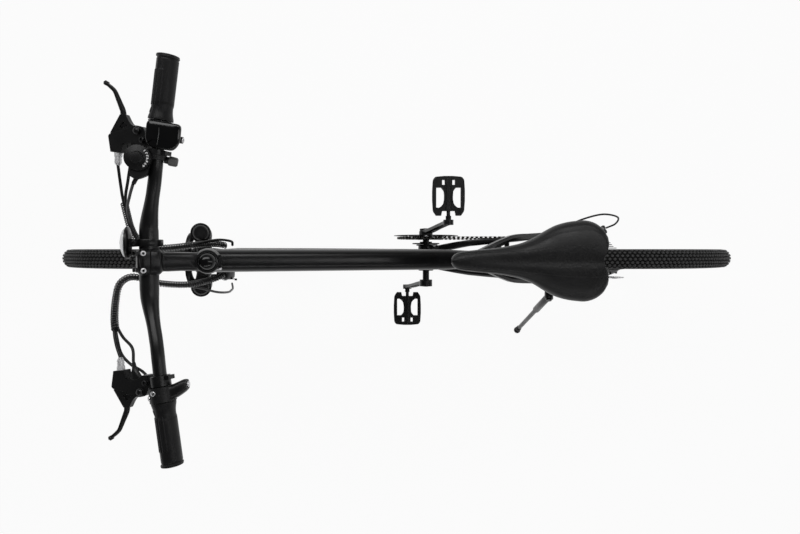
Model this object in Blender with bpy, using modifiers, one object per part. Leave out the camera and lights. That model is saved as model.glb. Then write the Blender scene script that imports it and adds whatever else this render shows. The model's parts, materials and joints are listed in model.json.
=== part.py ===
"""Electric bicycle with a rear hub motor, a suspension fork and disc brakes, as separate named pieces.

Metres, +X to the front, +Y to the rider's left, +Z up. Everything is modelled upright over the line through
the two tyre contacts, and the whole bicycle hangs on one empty that leans it over onto its kickstand.
"""

import math

import bmesh
import bpy
from mathutils import Matrix, Vector

# Clearance between neighbouring pieces
GAP = 0.0003
# Stance: the bicycle leans to the left on its kickstand
LEAN = math.radians(1.5)
STANCE_Y = -0.0275
# Wheels
WHEELBASE = 1.118
WHEEL_R = 0.343
TYRE_W = 0.050
TYRE_H = 0.047
TREAD_FLAT = TYRE_W / 2 * 0.36
BEAD_T = 0.0050
WHEEL_STEPS = 24
RIM_W = 0.029
RIM_DEPTH = 0.020
SPOKES = 28
SPOKE_R = 0.0011
ROTOR_R = 0.080
ROTOR_T = 0.0018
FRONT_OLD = 0.100
FRONT_AXLE_R = 0.0045
FRONT_FLANGE_R = 0.022
FRONT_FLANGE_Y = 0.026
FRONT_ROTOR_Y = 0.0345
REAR_OLD = 0.140
REAR_AXLE_R = 0.006
MOTOR_R = 0.066
REAR_ROTOR_Y = 0.0555
REAR_MOUNT_AT = Vector((0.076, REAR_ROTOR_Y + 0.0110, 0.007))
REAR_MOUNT_SIZE = (0.034, 0.0130, 0.024)
# Steering
HEAD_ANGLE = math.radians(72.5)
RAKE = 0.030
CROWN_OFFSET = 0.017
CROWN_H = 0.4660
CROWN_T = 0.026
LEG_SPACING = 0.1134
STANCHION_R = 0.015
STANCHION_CAP_H = 0.010
LOWER_R = 0.0200
SEAL_H = 0.352
FORK_TRAVEL = 0.063
STEERER_R = 0.0143
HEAD_TUBE_L = 0.130
HEAD_TUBE_R = 0.0225
LOWER_CUP_T = 0.013
UPPER_CUP_T = 0.020
STEM_CLAMP_H = 0.048
STEM_L = 0.097
STEM_RISE = math.radians(11.0)
STEM_W = 0.033
BAR_CLAMP_R = 0.0159
BAR_R = 0.0111
BAR_W = 0.680
BAR_RISE = 0.0305
BAR_SETBACK = 0.0260
BAR_BEND_START = 0.050
BAR_BEND_END = 0.165
BAR_SWEEP = math.radians(9.0)
BAR_UPSWEEP = math.radians(4.0)
GRIP_R = 0.0168
GRIP_L = 0.104
# Hand controls, as distances along the bar from its middle
LEVER_DROP = math.radians(18.0)
SHIFT_DIAL_R = 0.0205
LAMP_R = 0.0275
LAMP_Y = -0.0325
# Frame
CHAINSTAY = 0.478
BB_DROP = 0.053
BB_SHELL_W = 0.068
BB_SHELL_R = 0.0225
BB_CUP_R = 0.0180
SPINDLE_R = 0.0095
SEAT_ANGLE = math.radians(74.0)
SEAT_TUBE_L = 0.472
SEAT_TUBE_R = 0.0168
SEATPOST_R = 0.0136
SEATPOST_IN = 0.105
SEATPOST_OUT = 0.168
SEATPOST_DROP = 0.040
TOP_TUBE_W = 0.043
TOP_TUBE_H = 0.050
DOWN_TUBE_W = 0.050
DOWN_TUBE_H = 0.072
DROPOUT_T = 0.007
BATTERY_L = 0.370
BATTERY_W = 0.0400
BATTERY_H = 0.046
# Saddle
SADDLE_L = 0.2855
SADDLE_W = 0.1506
SADDLE_H = 0.052
SADDLE_NOSE_AHEAD = 0.1498
RAIL_R = 0.0035
RAIL_SPACING = 0.044
# Drive
CHAIN_PITCH = 0.0127
CHAIN_Y = -0.0565
CHAINRING_T = 40
SMALL_COG_T = 14
PULLEY_T = 11
TOOTH_W = 0.0019
COG_STEP = 0.0049
GUARD_R = 0.0935
GUARD_Y = -0.0635
CRANK_L = 0.170
CRANK_ANGLE = math.radians(109.0)
CRANK_ROOT_Y = 0.0765
CRANK_END_Y = 0.0950
CRANK_T = 0.0135
PEDAL_L = 0.1027
PEDAL_W = 0.0835
PEDAL_T = 0.022
PEDAL_IN_Y = 0.1127
PEDAL_AXLE_R = 0.0050
# Kickstand
KICK_AHEAD = 0.119
KICK_OUT = 0.1125
KICK_LOW = 0.043
KICK_FOOT_X = 0.040
KICK_FOOT_OUT = 0.138
KICK_LEG_R = 0.0075

COLLECTION = "electric_bicycle"
HELPERS = "helpers"

# Colour, roughness and metallic value of each material
FINISHES = {
    "gloss_black": ((0.010, 0.010, 0.011), 0.18, 0.0),
    "satin_black": ((0.018, 0.018, 0.019), 0.42, 0.0),
    "moulded_black": ((0.022, 0.022, 0.023), 0.55, 0.0),
    "anodised_black": ((0.020, 0.020, 0.022), 0.35, 0.6),
    "tyre_rubber": ((0.020, 0.020, 0.020), 0.85, 0.0),
    "grip_rubber": ((0.028, 0.028, 0.029), 0.70, 0.0),
    "saddle_vinyl": ((0.020, 0.020, 0.021), 0.48, 0.0),
    "steel": ((0.55, 0.55, 0.56), 0.30, 1.0),
    "dark_steel": ((0.10, 0.10, 0.105), 0.38, 0.9),
    "lamp_lens": ((0.85, 0.87, 0.88), 0.08, 0.0),
}


FLAT_ANGLE = math.radians(0.3)


def clear_scene():
    for old in list(bpy.data.objects):
        bpy.data.objects.remove(old, do_unlink=True)


def collection(name):
    made = bpy.data.collections.new(name)
    bpy.context.scene.collection.children.link(made)
    return made


def material(name):
    if name in bpy.data.materials:
        return bpy.data.materials[name]
    colour, roughness, metallic = FINISHES[name]
    made = bpy.data.materials.new(name)
    made.use_nodes = True
    shader = made.node_tree.nodes["Principled BSDF"]
    shader.inputs["Base Color"].default_value = (*colour, 1.0)
    shader.inputs["Roughness"].default_value = roughness
    shader.inputs["Metallic"].default_value = metallic
    return made


# Shapes. Each function returns an object whose mesh is in the bicycle's own upright frame.


def shape(bm):
    """A new helper object from a bmesh, welded, with its faces pointing out."""
    bmesh.ops.remove_doubles(bm, verts=bm.verts, dist=1e-6)
    bmesh.ops.recalc_face_normals(bm, faces=bm.faces)
    mesh = bpy.data.meshes.new("shape")
    bm.to_mesh(mesh)
    bm.free()
    made = bpy.data.objects.new("shape", mesh)
    bpy.data.collections[HELPERS].objects.link(made)
    return made


def baked(source):
    """The evaluated mesh of an object, as a new helper object in its place."""
    graph = bpy.context.evaluated_depsgraph_get()
    mesh = bpy.data.meshes.new_from_object(source.evaluated_get(graph))
    bm = bmesh.new()
    bm.from_mesh(mesh)
    bmesh.ops.transform(bm, matrix=source.matrix_world, verts=bm.verts)
    bpy.data.objects.remove(source, do_unlink=True)
    bpy.data.meshes.remove(mesh)
    bmesh.ops.remove_doubles(bm, verts=bm.verts, dist=2e-6)
    bmesh.ops.dissolve_limit(bm, angle_limit=FLAT_ANGLE, verts=bm.verts, edges=bm.edges)
    bmesh.ops.dissolve_degenerate(bm, dist=2e-6, edges=bm.edges)
    return shape(bm)


def combined(base, others, operation):
    for other in others:
        modifier = base.modifiers.new(operation.lower(), "BOOLEAN")
        modifier.operation = operation
        modifier.solver = "EXACT"
        modifier.object = other
        base = baked(base)
        bpy.data.objects.remove(other, do_unlink=True)
    return base


def joined(base, *others):
    return combined(base, others, "UNION")


def cut(base, *others):
    return combined(base, others, "DIFFERENCE")


def basis(origin, x_axis, y_axis):
    """A frame whose X lies along x_axis and whose Y lies in the plane of both axes."""
    x_axis = Vector(x_axis).normalized()
    z_axis = x_axis.cross(Vector(y_axis)).normalized()
    y_axis = z_axis.cross(x_axis)
    made = Matrix((x_axis, y_axis, z_axis)).transposed().to_4x4()
    made.translation = Vector(origin)
    return made


def along(start, axis):
    """A frame at start whose Z runs along axis."""
    made = Vector((0, 0, 1)).rotation_difference(Vector(axis)).to_matrix().to_4x4()
    made.translation = Vector(start)
    return made


def moved(obj, matrix):
    obj.data.transform(matrix)
    if matrix.determinant() < 0:
        obj.data.flip_normals()
    return obj


def rod(start, end, radius, end_radius=None, sides=12):
    start = Vector(start)
    axis = Vector(end) - start
    bm = bmesh.new()
    bmesh.ops.create_cone(
        bm,
        cap_ends=True,
        segments=sides,
        radius1=radius,
        radius2=radius if end_radius is None else end_radius,
        depth=axis.length,
        matrix=along(start + axis / 2, axis),
    )
    return shape(bm)


def bore(shaft, sides=12):
    """The radius of a faceted hole that clears a round shaft all the way round."""
    return (shaft + GAP) / math.cos(math.pi / sides)


def block(centre, size, bevel=0.0, segments=2, frame=None):
    bm = bmesh.new()
    bmesh.ops.create_cube(bm, size=1.0)
    bmesh.ops.scale(bm, vec=size, verts=bm.verts)
    if bevel:
        bmesh.ops.bevel(bm, geom=bm.edges, offset=bevel, segments=segments, profile=0.5, affect="EDGES")
    bmesh.ops.translate(bm, vec=centre, verts=bm.verts)
    if frame is not None:
        bmesh.ops.transform(bm, matrix=frame, verts=bm.verts)
    return shape(bm)


def ball(centre, radius, sides=12):
    bm = bmesh.new()
    bmesh.ops.create_uvsphere(
        bm, u_segments=sides, v_segments=sides // 2, radius=radius, matrix=Matrix.Translation(centre)
    )
    return shape(bm)


def turned(profile, frame, sides=32, ring=False):
    """A profile of (radius, height) points, top to bottom on its outer side, turned round the frame's Z."""
    mesh = bpy.data.meshes.new("profile")
    points = [(radius, 0.0, height) for radius, height in profile]
    edges = [(i, i + 1) for i in range(len(points) - 1)]
    if ring:
        edges.append((len(points) - 1, 0))
    mesh.from_pydata(points, edges, [])
    source = bpy.data.objects.new("profile", mesh)
    bpy.data.collections[HELPERS].objects.link(source)
    screw = source.modifiers.new("turn", "SCREW")
    screw.steps = sides
    screw.render_steps = sides
    screw.use_merge_vertices = True
    screw.merge_threshold = 0.00001
    return moved(baked(source), frame)


def plate(outline, thickness, frame, holes=()):
    """A flat outline, with holes, in the frame's XY plane and centred on it."""
    curve = bpy.data.curves.new("outline", "CURVE")
    curve.dimensions = "2D"
    curve.fill_mode = "BOTH"
    curve.extrude = thickness / 2
    for points in (outline, *holes):
        spline = curve.splines.new("POLY")
        spline.points.add(len(points) - 1)
        for slot, (x, y) in zip(spline.points, points):
            slot.co = (x, y, 0.0, 1.0)
        spline.use_cyclic_u = True
    source = bpy.data.objects.new("outline", curve)
    bpy.data.collections[HELPERS].objects.link(source)
    return moved(baked(source), frame)


def circle(centre, radius, sides=16, phase=0.0):
    turns = [phase + math.tau * i / sides for i in range(sides)]
    return [(centre[0] + radius * math.cos(a), centre[1] + radius * math.sin(a)) for a in turns]


def rounded(corners, radius, steps=3):
    """A closed outline with each corner cut by an arc of about the given radius."""
    made = []
    count = len(corners)
    for i, corner in enumerate(corners):
        here = Vector(corner)
        before = Vector(corners[i - 1]) - here
        after = Vector(corners[(i + 1) % count]) - here
        reach = min(radius, before.length * 0.45, after.length * 0.45)
        start = here + before.normalized() * reach
        end = here + after.normalized() * reach
        for step in range(steps + 1):
            t = step / steps
            point = start * (1 - t) ** 2 + here * 2 * t * (1 - t) + end * t**2
            made.append((point.x, point.y))
    return made


def smooth_path(points, steps):
    """Points on a Catmull-Rom curve through the given points."""
    points = [Vector(p) for p in points]
    ends = [points[0] * 2 - points[1], *points, points[-1] * 2 - points[-2]]
    made = []
    for i in range(len(points) - 1):
        p0, p1, p2, p3 = ends[i : i + 4]
        for step in range(steps):
            t = step / steps
            made.append(
                0.5
                * (
                    2 * p1
                    + (p2 - p0) * t
                    + (2 * p0 - 5 * p1 + 4 * p2 - p3) * t**2
                    + (3 * p1 - p0 - 3 * p2 + p3) * t**3
                )
            )
    made.append(points[-1])
    return made


def tube(points, radius, resolution=1, radii=None):
    """A round tube along the points, with 4 sides and 2 more for each step of resolution."""
    curve = bpy.data.curves.new("route", "CURVE")
    curve.dimensions = "3D"
    curve.bevel_depth = radius
    curve.bevel_resolution = resolution
    curve.use_fill_caps = True
    spline = curve.splines.new("POLY")
    spline.points.add(len(points) - 1)
    for i, point in enumerate(points):
        spline.points[i].co = (*point, 1.0)
        spline.points[i].radius = radii[i] / radius if radii else 1.0
    source = bpy.data.objects.new("route", curve)
    bpy.data.collections[HELPERS].objects.link(source)
    return baked(source)


def section(half_width, half_height, power, sides):
    """Points round a superellipse: power 2 is an ellipse, and more is a rounded box."""
    made = []
    for i in range(sides):
        angle = math.tau * (i + 0.5) / sides
        c = math.cos(angle)
        s = math.sin(angle)
        x = math.copysign(abs(c) ** (2 / power), c) * half_width
        y = math.copysign(abs(s) ** (2 / power), s) * half_height
        made.append((x, y))
    return made


def loft(rings):
    """A closed solid through rings of equal count, capped at both ends."""
    bm = bmesh.new()
    loops = [[bm.verts.new(point) for point in ring] for ring in rings]
    count = len(loops[0])
    for low, high in zip(loops, loops[1:]):
        for i in range(count):
            j = (i + 1) % count
            bm.faces.new((low[i], low[j], high[j], high[i]))
    bm.faces.new(loops[0])
    bm.faces.new(loops[-1][::-1])
    return shape(bm)


def sweep(path, halves, power=2.0, sides=14, across=(0, 1, 0)):
    """A bar along a path, whose section at each point is (half width across, half height)."""
    path = [Vector(p) for p in path]
    across = Vector(across)
    rings = []
    for i, point in enumerate(path):
        tangent = (path[min(i + 1, len(path) - 1)] - path[max(i - 1, 0)]).normalized()
        side = (across - tangent * across.dot(tangent)).normalized()
        up = tangent.cross(side)
        ring = section(*halves[i], power, sides)
        rings.append([point + side * x + up * y for x, y in ring])
    return loft(rings)


def spread(values, count):
    """The values, evenly resampled to count of them by straight lines."""
    made = []
    for i in range(count):
        place = i * (len(values) - 1) / (count - 1)
        low = min(int(place), len(values) - 2)
        t = place - low
        made.append(tuple(a * (1 - t) + b * t for a, b in zip(values[low], values[low + 1])))
    return made


def node(name, obj, finish, stance, pivot=(0, 0, 0)):
    """Names a piece, gives it its material and puts its origin on its joint."""
    pivot = Vector(pivot)
    obj.data.transform(Matrix.Translation(-pivot))
    obj.name = name
    obj.data.name = name
    obj.data.materials.clear()
    obj.data.materials.append(material(finish))
    obj.data.shade_smooth()
    obj.data.set_sharp_from_angle(angle=math.radians(32))
    bpy.data.collections[HELPERS].objects.unlink(obj)
    bpy.data.collections[COLLECTION].objects.link(obj)
    obj.parent = stance
    obj.location = pivot
    return obj


# Places that several pieces share

FRONT_AXLE = Vector((WHEELBASE / 2, 0, WHEEL_R))
REAR_AXLE = Vector((-WHEELBASE / 2, 0, WHEEL_R))
BB = REAR_AXLE + Vector((CHAINSTAY, 0, -BB_DROP))
ACROSS = Vector((0, 1, 0))
STEER_UP = Vector((-math.cos(HEAD_ANGLE), 0, math.sin(HEAD_ANGLE)))
STEER_FORWARD = Vector((math.sin(HEAD_ANGLE), 0, math.cos(HEAD_ANGLE)))
STEER_FOOT = FRONT_AXLE - STEER_FORWARD * RAKE
SEAT_UP = Vector((-math.cos(SEAT_ANGLE), 0, math.sin(SEAT_ANGLE)))
SEAT_TOP = BB + SEAT_UP * SEAT_TUBE_L
CROWN_TOP = CROWN_H + CROWN_T / 2
HEAD_LOW = CROWN_TOP + LOWER_CUP_T + GAP
HEAD_HIGH = HEAD_LOW + HEAD_TUBE_L
STEM_LOW = HEAD_HIGH + UPPER_CUP_T + GAP
STEM_HIGH = STEM_LOW + STEM_CLAMP_H
DROPOUT_Y = REAR_OLD / 2 + DROPOUT_T / 2 + GAP
DOWN_TUBE_TOP_H = HEAD_LOW + 0.036
TOP_TUBE_H0 = HEAD_HIGH - 0.036


def steer_point(height, forward=0.0, y=0.0):
    """A point by its height up the steering axis and its distance in front of it."""
    return STEER_FOOT + STEER_UP * height + STEER_FORWARD * forward + ACROSS * y


DOWN_TUBE_END = steer_point(DOWN_TUBE_TOP_H)
DOWN_TUBE_DIR = (DOWN_TUBE_END - BB).normalized()
DOWN_TUBE_L = (DOWN_TUBE_END - BB).length
DOWN_TUBE_FRAME = basis(BB, DOWN_TUBE_DIR, ACROSS)
BATTERY_X = DOWN_TUBE_L * 0.47
BATTERY_FLOOR = DOWN_TUBE_H / 2 - BATTERY_H


# Frame


def head_tube():
    low = steer_point(CROWN_TOP + GAP)
    high = steer_point(STEM_LOW - GAP)
    profile = [
        (0.0, STEM_LOW - GAP),
        (HEAD_TUBE_R * 0.88, STEM_LOW - GAP),
        (HEAD_TUBE_R * 1.07, HEAD_HIGH + UPPER_CUP_T * 0.3),
        (HEAD_TUBE_R, HEAD_HIGH - 0.012),
        (HEAD_TUBE_R, HEAD_LOW + 0.012),
        (HEAD_TUBE_R * 1.10, HEAD_LOW),
        (HEAD_TUBE_R * 0.96, CROWN_TOP + GAP),
        (0.0, CROWN_TOP + GAP),
    ]
    tube_body = turned(profile, along(STEER_FOOT, STEER_UP), sides=14)
    hole = rod(low - STEER_UP * 0.01, high + STEER_UP * 0.01, bore(STEERER_R, 14), sides=14)
    return tube_body, hole


def main_tubes():
    top_start = steer_point(TOP_TUBE_H0)
    top_end = BB + SEAT_UP * (SEAT_TUBE_L - 0.052)
    top_path = [top_start.lerp(top_end, t) for t in (0, 0.5, 0.85, 1)]
    top_half = TOP_TUBE_W / 2
    top_sizes = [
        (top_half, TOP_TUBE_H * 0.54),
        (top_half, TOP_TUBE_H * 0.48),
        (top_half, TOP_TUBE_H * 0.42),
        (top_half * 0.80, TOP_TUBE_H * 0.38),
    ]
    down_path = [DOWN_TUBE_END.lerp(BB, t) for t in (0, 0.10, 0.9, 1)]
    down_half = DOWN_TUBE_W / 2
    down_sizes = [
        (down_half * 0.80, DOWN_TUBE_H * 0.42),
        (down_half, DOWN_TUBE_H * 0.5),
        (down_half, DOWN_TUBE_H * 0.5),
        (down_half, DOWN_TUBE_H * 0.30),
    ]
    seat = rod(BB, SEAT_TOP, SEAT_TUBE_R, sides=12)
    return [
        sweep(top_path, top_sizes, power=2.8, sides=10),
        sweep(down_path, down_sizes, power=4.0, sides=10),
        seat,
    ]


def chainstay(side):
    y_end = side * DROPOUT_Y
    path = [
        BB + Vector((-0.006, side * 0.020, 0)),
        BB + Vector((-0.125, side * 0.0420, 0.014)),
        REAR_AXLE + Vector((0.215, side * 0.0545, -0.022)),
        REAR_AXLE + Vector((0.070, y_end * 0.965, -0.008)),
        REAR_AXLE + Vector((0.030, y_end, -0.002)),
    ]
    sizes = [(0.0105, 0.0150), (0.0095, 0.0130), (0.0085, 0.0115), (0.0075, 0.0095)]
    sizes.append((DROPOUT_T * 0.72, 0.0085))
    return sweep(path, sizes, power=2.4, sides=8)


def seatstay(side):
    y_end = side * DROPOUT_Y
    start = BB + SEAT_UP * (SEAT_TUBE_L - 0.088)
    path = [
        start + Vector((0, side * 0.010, 0)),
        start + Vector((-0.090, side * 0.0490, -0.070)),
        REAR_AXLE + Vector((0.225, side * 0.0560, 0.199)),
        REAR_AXLE + Vector((0.100, side * 0.0650, 0.100)),
        REAR_AXLE + Vector((0.016, y_end, 0.030)),
    ]
    sizes = [(0.0085, 0.0100), (0.0080, 0.0090), (0.0075, 0.0085), (0.0070, 0.0080)]
    sizes.append((DROPOUT_T * 0.72, 0.0075))
    return sweep(path, sizes, power=2.2, sides=6)


def dropout(side):
    corners = [
        (-0.017, -0.012),
        (-0.008, -0.019),
        (0.046, -0.014),
        (0.052, 0.007),
        (0.034, 0.016),
        (0.030, 0.042),
        (0.010, 0.047),
        (-0.006, 0.024),
        (-0.017, 0.012),
    ]
    if side < 0:
        corners[0:2] = [(-0.019, -0.014), (-0.021, -0.038), (-0.003, -0.040), (0.002, -0.018)]
    centre = (REAR_AXLE.x, side * DROPOUT_Y, REAR_AXLE.z)
    place = basis(centre, (1, 0, 0), (0, 0, 1))
    return plate(corners, DROPOUT_T, place)


def stay_bridges():
    high = BB + SEAT_UP * (SEAT_TUBE_L - 0.088) + Vector((-0.082, 0, -0.062))
    low = BB + Vector((-0.058, 0, 0.005))
    return [
        rod(high - ACROSS * 0.047, high + ACROSS * 0.047, 0.0065, sides=6),
        rod(low - ACROSS * 0.026, low + ACROSS * 0.026, 0.0075, sides=6),
    ]


def rear_brake_mount():
    """The cast ear on the left stay that the rear caliper bolts against."""
    ear = block(REAR_AXLE + REAR_MOUNT_AT, REAR_MOUNT_SIZE)
    return cut(ear, caliper_block("rear", GAP))


def build_frame():
    head, head_hole = head_tube()
    shell = rod(BB - ACROSS * BB_SHELL_W / 2, BB + ACROSS * BB_SHELL_W / 2, BB_SHELL_R, sides=12)
    parts = main_tubes() + stay_bridges() + [shell]
    for side in (-1, 1):
        parts += [chainstay(side), seatstay(side), dropout(side)]
    seat_hole = rod(
        SEAT_TOP - SEAT_UP * (SEATPOST_IN + SEATPOST_DROP + 0.012),
        SEAT_TOP + SEAT_UP * 0.02,
        bore(SEATPOST_R, 12),
        sides=12,
    )
    bb_hole = rod(BB - ACROSS * BB_SHELL_W, BB + ACROSS * BB_SHELL_W, bore(BB_CUP_R, 12), sides=12)
    axle_hole = rod(
        REAR_AXLE - ACROSS * REAR_OLD, REAR_AXLE + ACROSS * REAR_OLD, bore(REAR_AXLE_R, 8), sides=8
    )
    bay = block(
        (BATTERY_X, 0, BATTERY_FLOOR + BATTERY_H),
        (BATTERY_L + 2 * GAP, BATTERY_W + 2 * GAP, BATTERY_H * 2),
        frame=DOWN_TUBE_FRAME,
    )
    slot = block((0.0, 0, 0.0), (0.03, 0.003, 0.03), frame=along(SEAT_TOP - SEAT_UP * 0.012, SEAT_UP))
    slot.data.transform(Matrix.Translation((-0.016, 0, 0)))
    hollow = cut(joined(head, *parts), head_hole, seat_hole, bb_hole, axle_hole, bay, slot)
    return joined(hollow, rear_brake_mount())


def build_battery():
    height = BATTERY_H + 0.004
    pack = block(
        (BATTERY_X, 0, BATTERY_FLOOR + GAP + height / 2),
        (BATTERY_L, BATTERY_W, height),
        bevel=0.006,
        segments=1,
        frame=DOWN_TUBE_FRAME,
    )
    grip = block(
        (BATTERY_X + BATTERY_L * 0.36, 0, BATTERY_FLOOR + GAP + height),
        (0.052, 0.020, 0.010),
        frame=DOWN_TUBE_FRAME,
    )
    return cut(pack, grip)


def build_bottom_bracket():
    """The cartridge with a cup at each end and the pedal sensor's board on its right."""
    face = BB_SHELL_W / 2
    profile = [
        (bore(SPINDLE_R, 12), face + 0.0042),
        (BB_CUP_R * 1.20, face + 0.0042),
        (BB_CUP_R * 1.22, face + GAP),
        (BB_CUP_R, face + GAP),
        (BB_CUP_R, -face - GAP),
        (0.0280, -face - GAP),
        (0.0280, -face - 0.0040),
        (bore(SPINDLE_R, 12), -face - 0.0040),
    ]
    body = turned(profile, basis_y(BB), sides=12, ring=True)
    ear = plate(
        [(0.024, -0.008), (0.048, -0.005), (0.048, 0.005), (0.024, 0.008)],
        0.0034,
        basis(
            BB - ACROSS * (face + 0.0022),
            (math.cos(2.2), 0, math.sin(2.2)),
            (-math.sin(2.2), 0, math.cos(2.2)),
        ),
    )
    return joined(body, ear)


def basis_y(origin):
    """A frame at origin whose Z points to the rider's left."""
    return basis(origin, (1, 0, 0), (0, 0, -1))


def build_rear_axle():
    """The motor's fixed axle, with a nut and washer outside each dropout."""
    inner = REAR_OLD / 2 + DROPOUT_T + 2 * GAP
    parts = []
    for side in (-1, 1):
        a = REAR_AXLE + ACROSS * side * (inner + GAP)
        parts.append(rod(a, a + ACROSS * side * 0.0022, 0.0125, sides=8))
        parts.append(rod(a + ACROSS * side * 0.002, a + ACROSS * side * 0.011, 0.0100, sides=6))
        parts.append(
            rod(
                REAR_AXLE + ACROSS * side * (REAR_OLD / 2 - 0.006),
                REAR_AXLE + ACROSS * side * REAR_OLD / 2,
                0.0105,
                sides=8,
            )
        )
    length = inner + 0.016
    shaft = rod(REAR_AXLE - ACROSS * length, REAR_AXLE + ACROSS * length, REAR_AXLE_R, sides=8)
    return joined(shaft, *parts)


# Seat

CLAMP_CENTRE = SEAT_TOP + SEAT_UP * (SEATPOST_OUT + 0.014)
RAIL_Z = CLAMP_CENTRE.z + 0.002
SADDLE_NOSE_X = CLAMP_CENTRE.x + SADDLE_NOSE_AHEAD
SEAT_CLAMP_H = 0.018
SEAT_CLAMP_R = SEAT_TUBE_R + 0.0042
QR_BACK = SEAT_CLAMP_R + 0.0045
QR_CENTRE = SEAT_TOP - SEAT_UP * (SEAT_CLAMP_H / 2 + 0.002)
QR_PIVOT_Y = 0.0215


def seat_frame(origin):
    """A frame whose Z runs up the seat tube and whose X points forward."""
    forward = ACROSS.cross(SEAT_UP)
    return basis(origin, forward, ACROSS)


def build_seat_clamp():
    """A split collar round the seat tube, with two ears and the skewer behind it."""
    half = SEAT_CLAMP_H / 2
    place = seat_frame(QR_CENTRE)
    ring = plate(
        circle((0, 0), SEAT_CLAMP_R, 12), SEAT_CLAMP_H, place, [circle((0, 0), bore(SEAT_TUBE_R, 12), 12)]
    )
    ears = block((-QR_BACK, 0, 0), (0.016, 0.022, SEAT_CLAMP_H * 0.9), frame=place)
    opening = block((-QR_BACK, 0, 0), (0.030, 0.003, SEAT_CLAMP_H * 2), frame=place)
    bore_tool = rod(
        QR_CENTRE - SEAT_UP * half * 3, QR_CENTRE + SEAT_UP * half * 3, bore(SEAT_TUBE_R, 12), sides=12
    )
    skewer = rod(
        place @ Vector((-QR_BACK - 0.001, 0.0165, 0)),
        place @ Vector((-QR_BACK - 0.001, -0.030, 0)),
        0.0026,
        sides=6,
    )
    nut = rod(
        place @ Vector((-QR_BACK - 0.001, -0.0105, 0)),
        place @ Vector((-QR_BACK - 0.001, -0.019, 0)),
        0.0070,
        sides=8,
    )
    return joined(cut(joined(ring, ears), opening, bore_tool), skewer, nut)


def seat_lever_pivot():
    return seat_frame(QR_CENTRE) @ Vector((-QR_BACK - 0.001, QR_PIVOT_Y, 0))


def build_seat_lever():
    """The cam lever, closed: it lies along the side of the collar."""
    place = seat_frame(seat_lever_pivot())
    cam = rod(place @ Vector((0, 0, -0.0065)), place @ Vector((0, 0, 0.0065)), 0.0046, sides=10)
    path = [
        (0.0, 0.0015, 0), (0.012, 0.0045, 0), (0.030, 0.0050, 0), (0.048, 0.0010, 0), (0.056, -0.003, 0)
    ]
    smooth = [place @ Vector(p) for p in path]
    sizes = [(0.0022, 0.0060), (0.0022, 0.0066), (0.0020, 0.0072), (0.0020, 0.0078), (0.0018, 0.0060)]
    blade = sweep(smooth, sizes, power=3, sides=6, across=ACROSS)
    return joined(cam, blade)


def build_seatpost():
    """The post, with the head that clamps the two rails."""
    post = rod(SEAT_TOP - SEAT_UP * SEATPOST_IN, SEAT_TOP + SEAT_UP * SEATPOST_OUT, SEATPOST_R, sides=12)
    cradle = block(
        (CLAMP_CENTRE.x, 0, RAIL_Z - 0.0035), (0.040, RAIL_SPACING + 0.018, 0.014)
    )
    cap = block((CLAMP_CENTRE.x, 0, RAIL_Z + 0.0045), (0.032, RAIL_SPACING + 0.014, 0.005))
    neck = rod(SEAT_TOP + SEAT_UP * (SEATPOST_OUT - 0.012), CLAMP_CENTRE, SEATPOST_R * 1.12, sides=12)
    bolt = rod((CLAMP_CENTRE.x, 0, RAIL_Z - 0.012), (CLAMP_CENTRE.x, 0, RAIL_Z + 0.0095), 0.0050, sides=6)
    holes = [
        rod(
            (CLAMP_CENTRE.x - 0.05, side * RAIL_SPACING / 2, RAIL_Z),
            (CLAMP_CENTRE.x + 0.05, side * RAIL_SPACING / 2, RAIL_Z),
            bore(RAIL_R * 1.15, 8),
            sides=8,
        )
        for side in (-1, 1)
    ]
    return cut(joined(post, neck, cradle, cap, bolt), *holes)


SADDLE_TOP_Z = RAIL_Z + 0.047
# Distance behind the nose and half width, as shares of the saddle's length and width
SADDLE_OUTLINE = (
    (0.000, 0.060),
    (0.018, 0.155),
    (0.060, 0.225),
    (0.170, 0.278),
    (0.300, 0.326),
    (0.425, 0.412),
    (0.490, 0.492),
    (0.550, 0.600),
    (0.615, 0.752),
    (0.680, 0.880),
    (0.745, 0.955),
    (0.810, 0.992),
    (0.870, 1.000),
    (0.925, 0.935),
    (0.970, 0.800),
    (0.993, 0.640),
)


def saddle_height(share):
    """How far the top line stands above its lowest point, along the saddle."""
    nose = -0.010 * max(0.0, 1 - share / 0.16) ** 2
    tail = 0.015 * max(0.0, (share - 0.45) / 0.55) ** 1.4
    return nose + tail


def saddle_ring(share, width_share):
    """One section: over the crowned top with its channel, round the skirt and back under the shell."""
    half = SADDLE_W / 2 * width_share
    x = SADDLE_NOSE_X - SADDLE_L * share
    top = SADDLE_TOP_Z - 0.012 + saddle_height(share)
    drop = min(0.034, 0.016 + half * 0.36)
    edge = top - drop
    ring = []
    for i in range(13):
        angle = math.pi * i / 12
        y = half * math.cos(angle)
        z = edge + (top - edge) * math.sin(angle) ** 0.62
        channel = 0.0035 * math.exp(-((y / 0.010) ** 2)) * min(1.0, share * 3)
        notch = 0.012 * max(0.0, (share - 0.86) / 0.14) ** 2 * math.exp(-((y / 0.020) ** 2))
        ring.append(Vector((x + notch, y, z - channel)))
    inner = half * 0.90
    floor = min(edge + 0.004, top - 0.012)
    for i in range(7):
        y = -inner + 2 * inner * i / 6
        arch = 0.006 * (1 - (y / inner) ** 2)
        notch = 0.012 * max(0.0, (share - 0.86) / 0.14) ** 2 * math.exp(-((y / 0.020) ** 2))
        ring.append(Vector((x + notch, y, floor + arch)))
    return ring


def build_saddle():
    return loft([saddle_ring(share, width) for share, width in SADDLE_OUTLINE])


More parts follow.
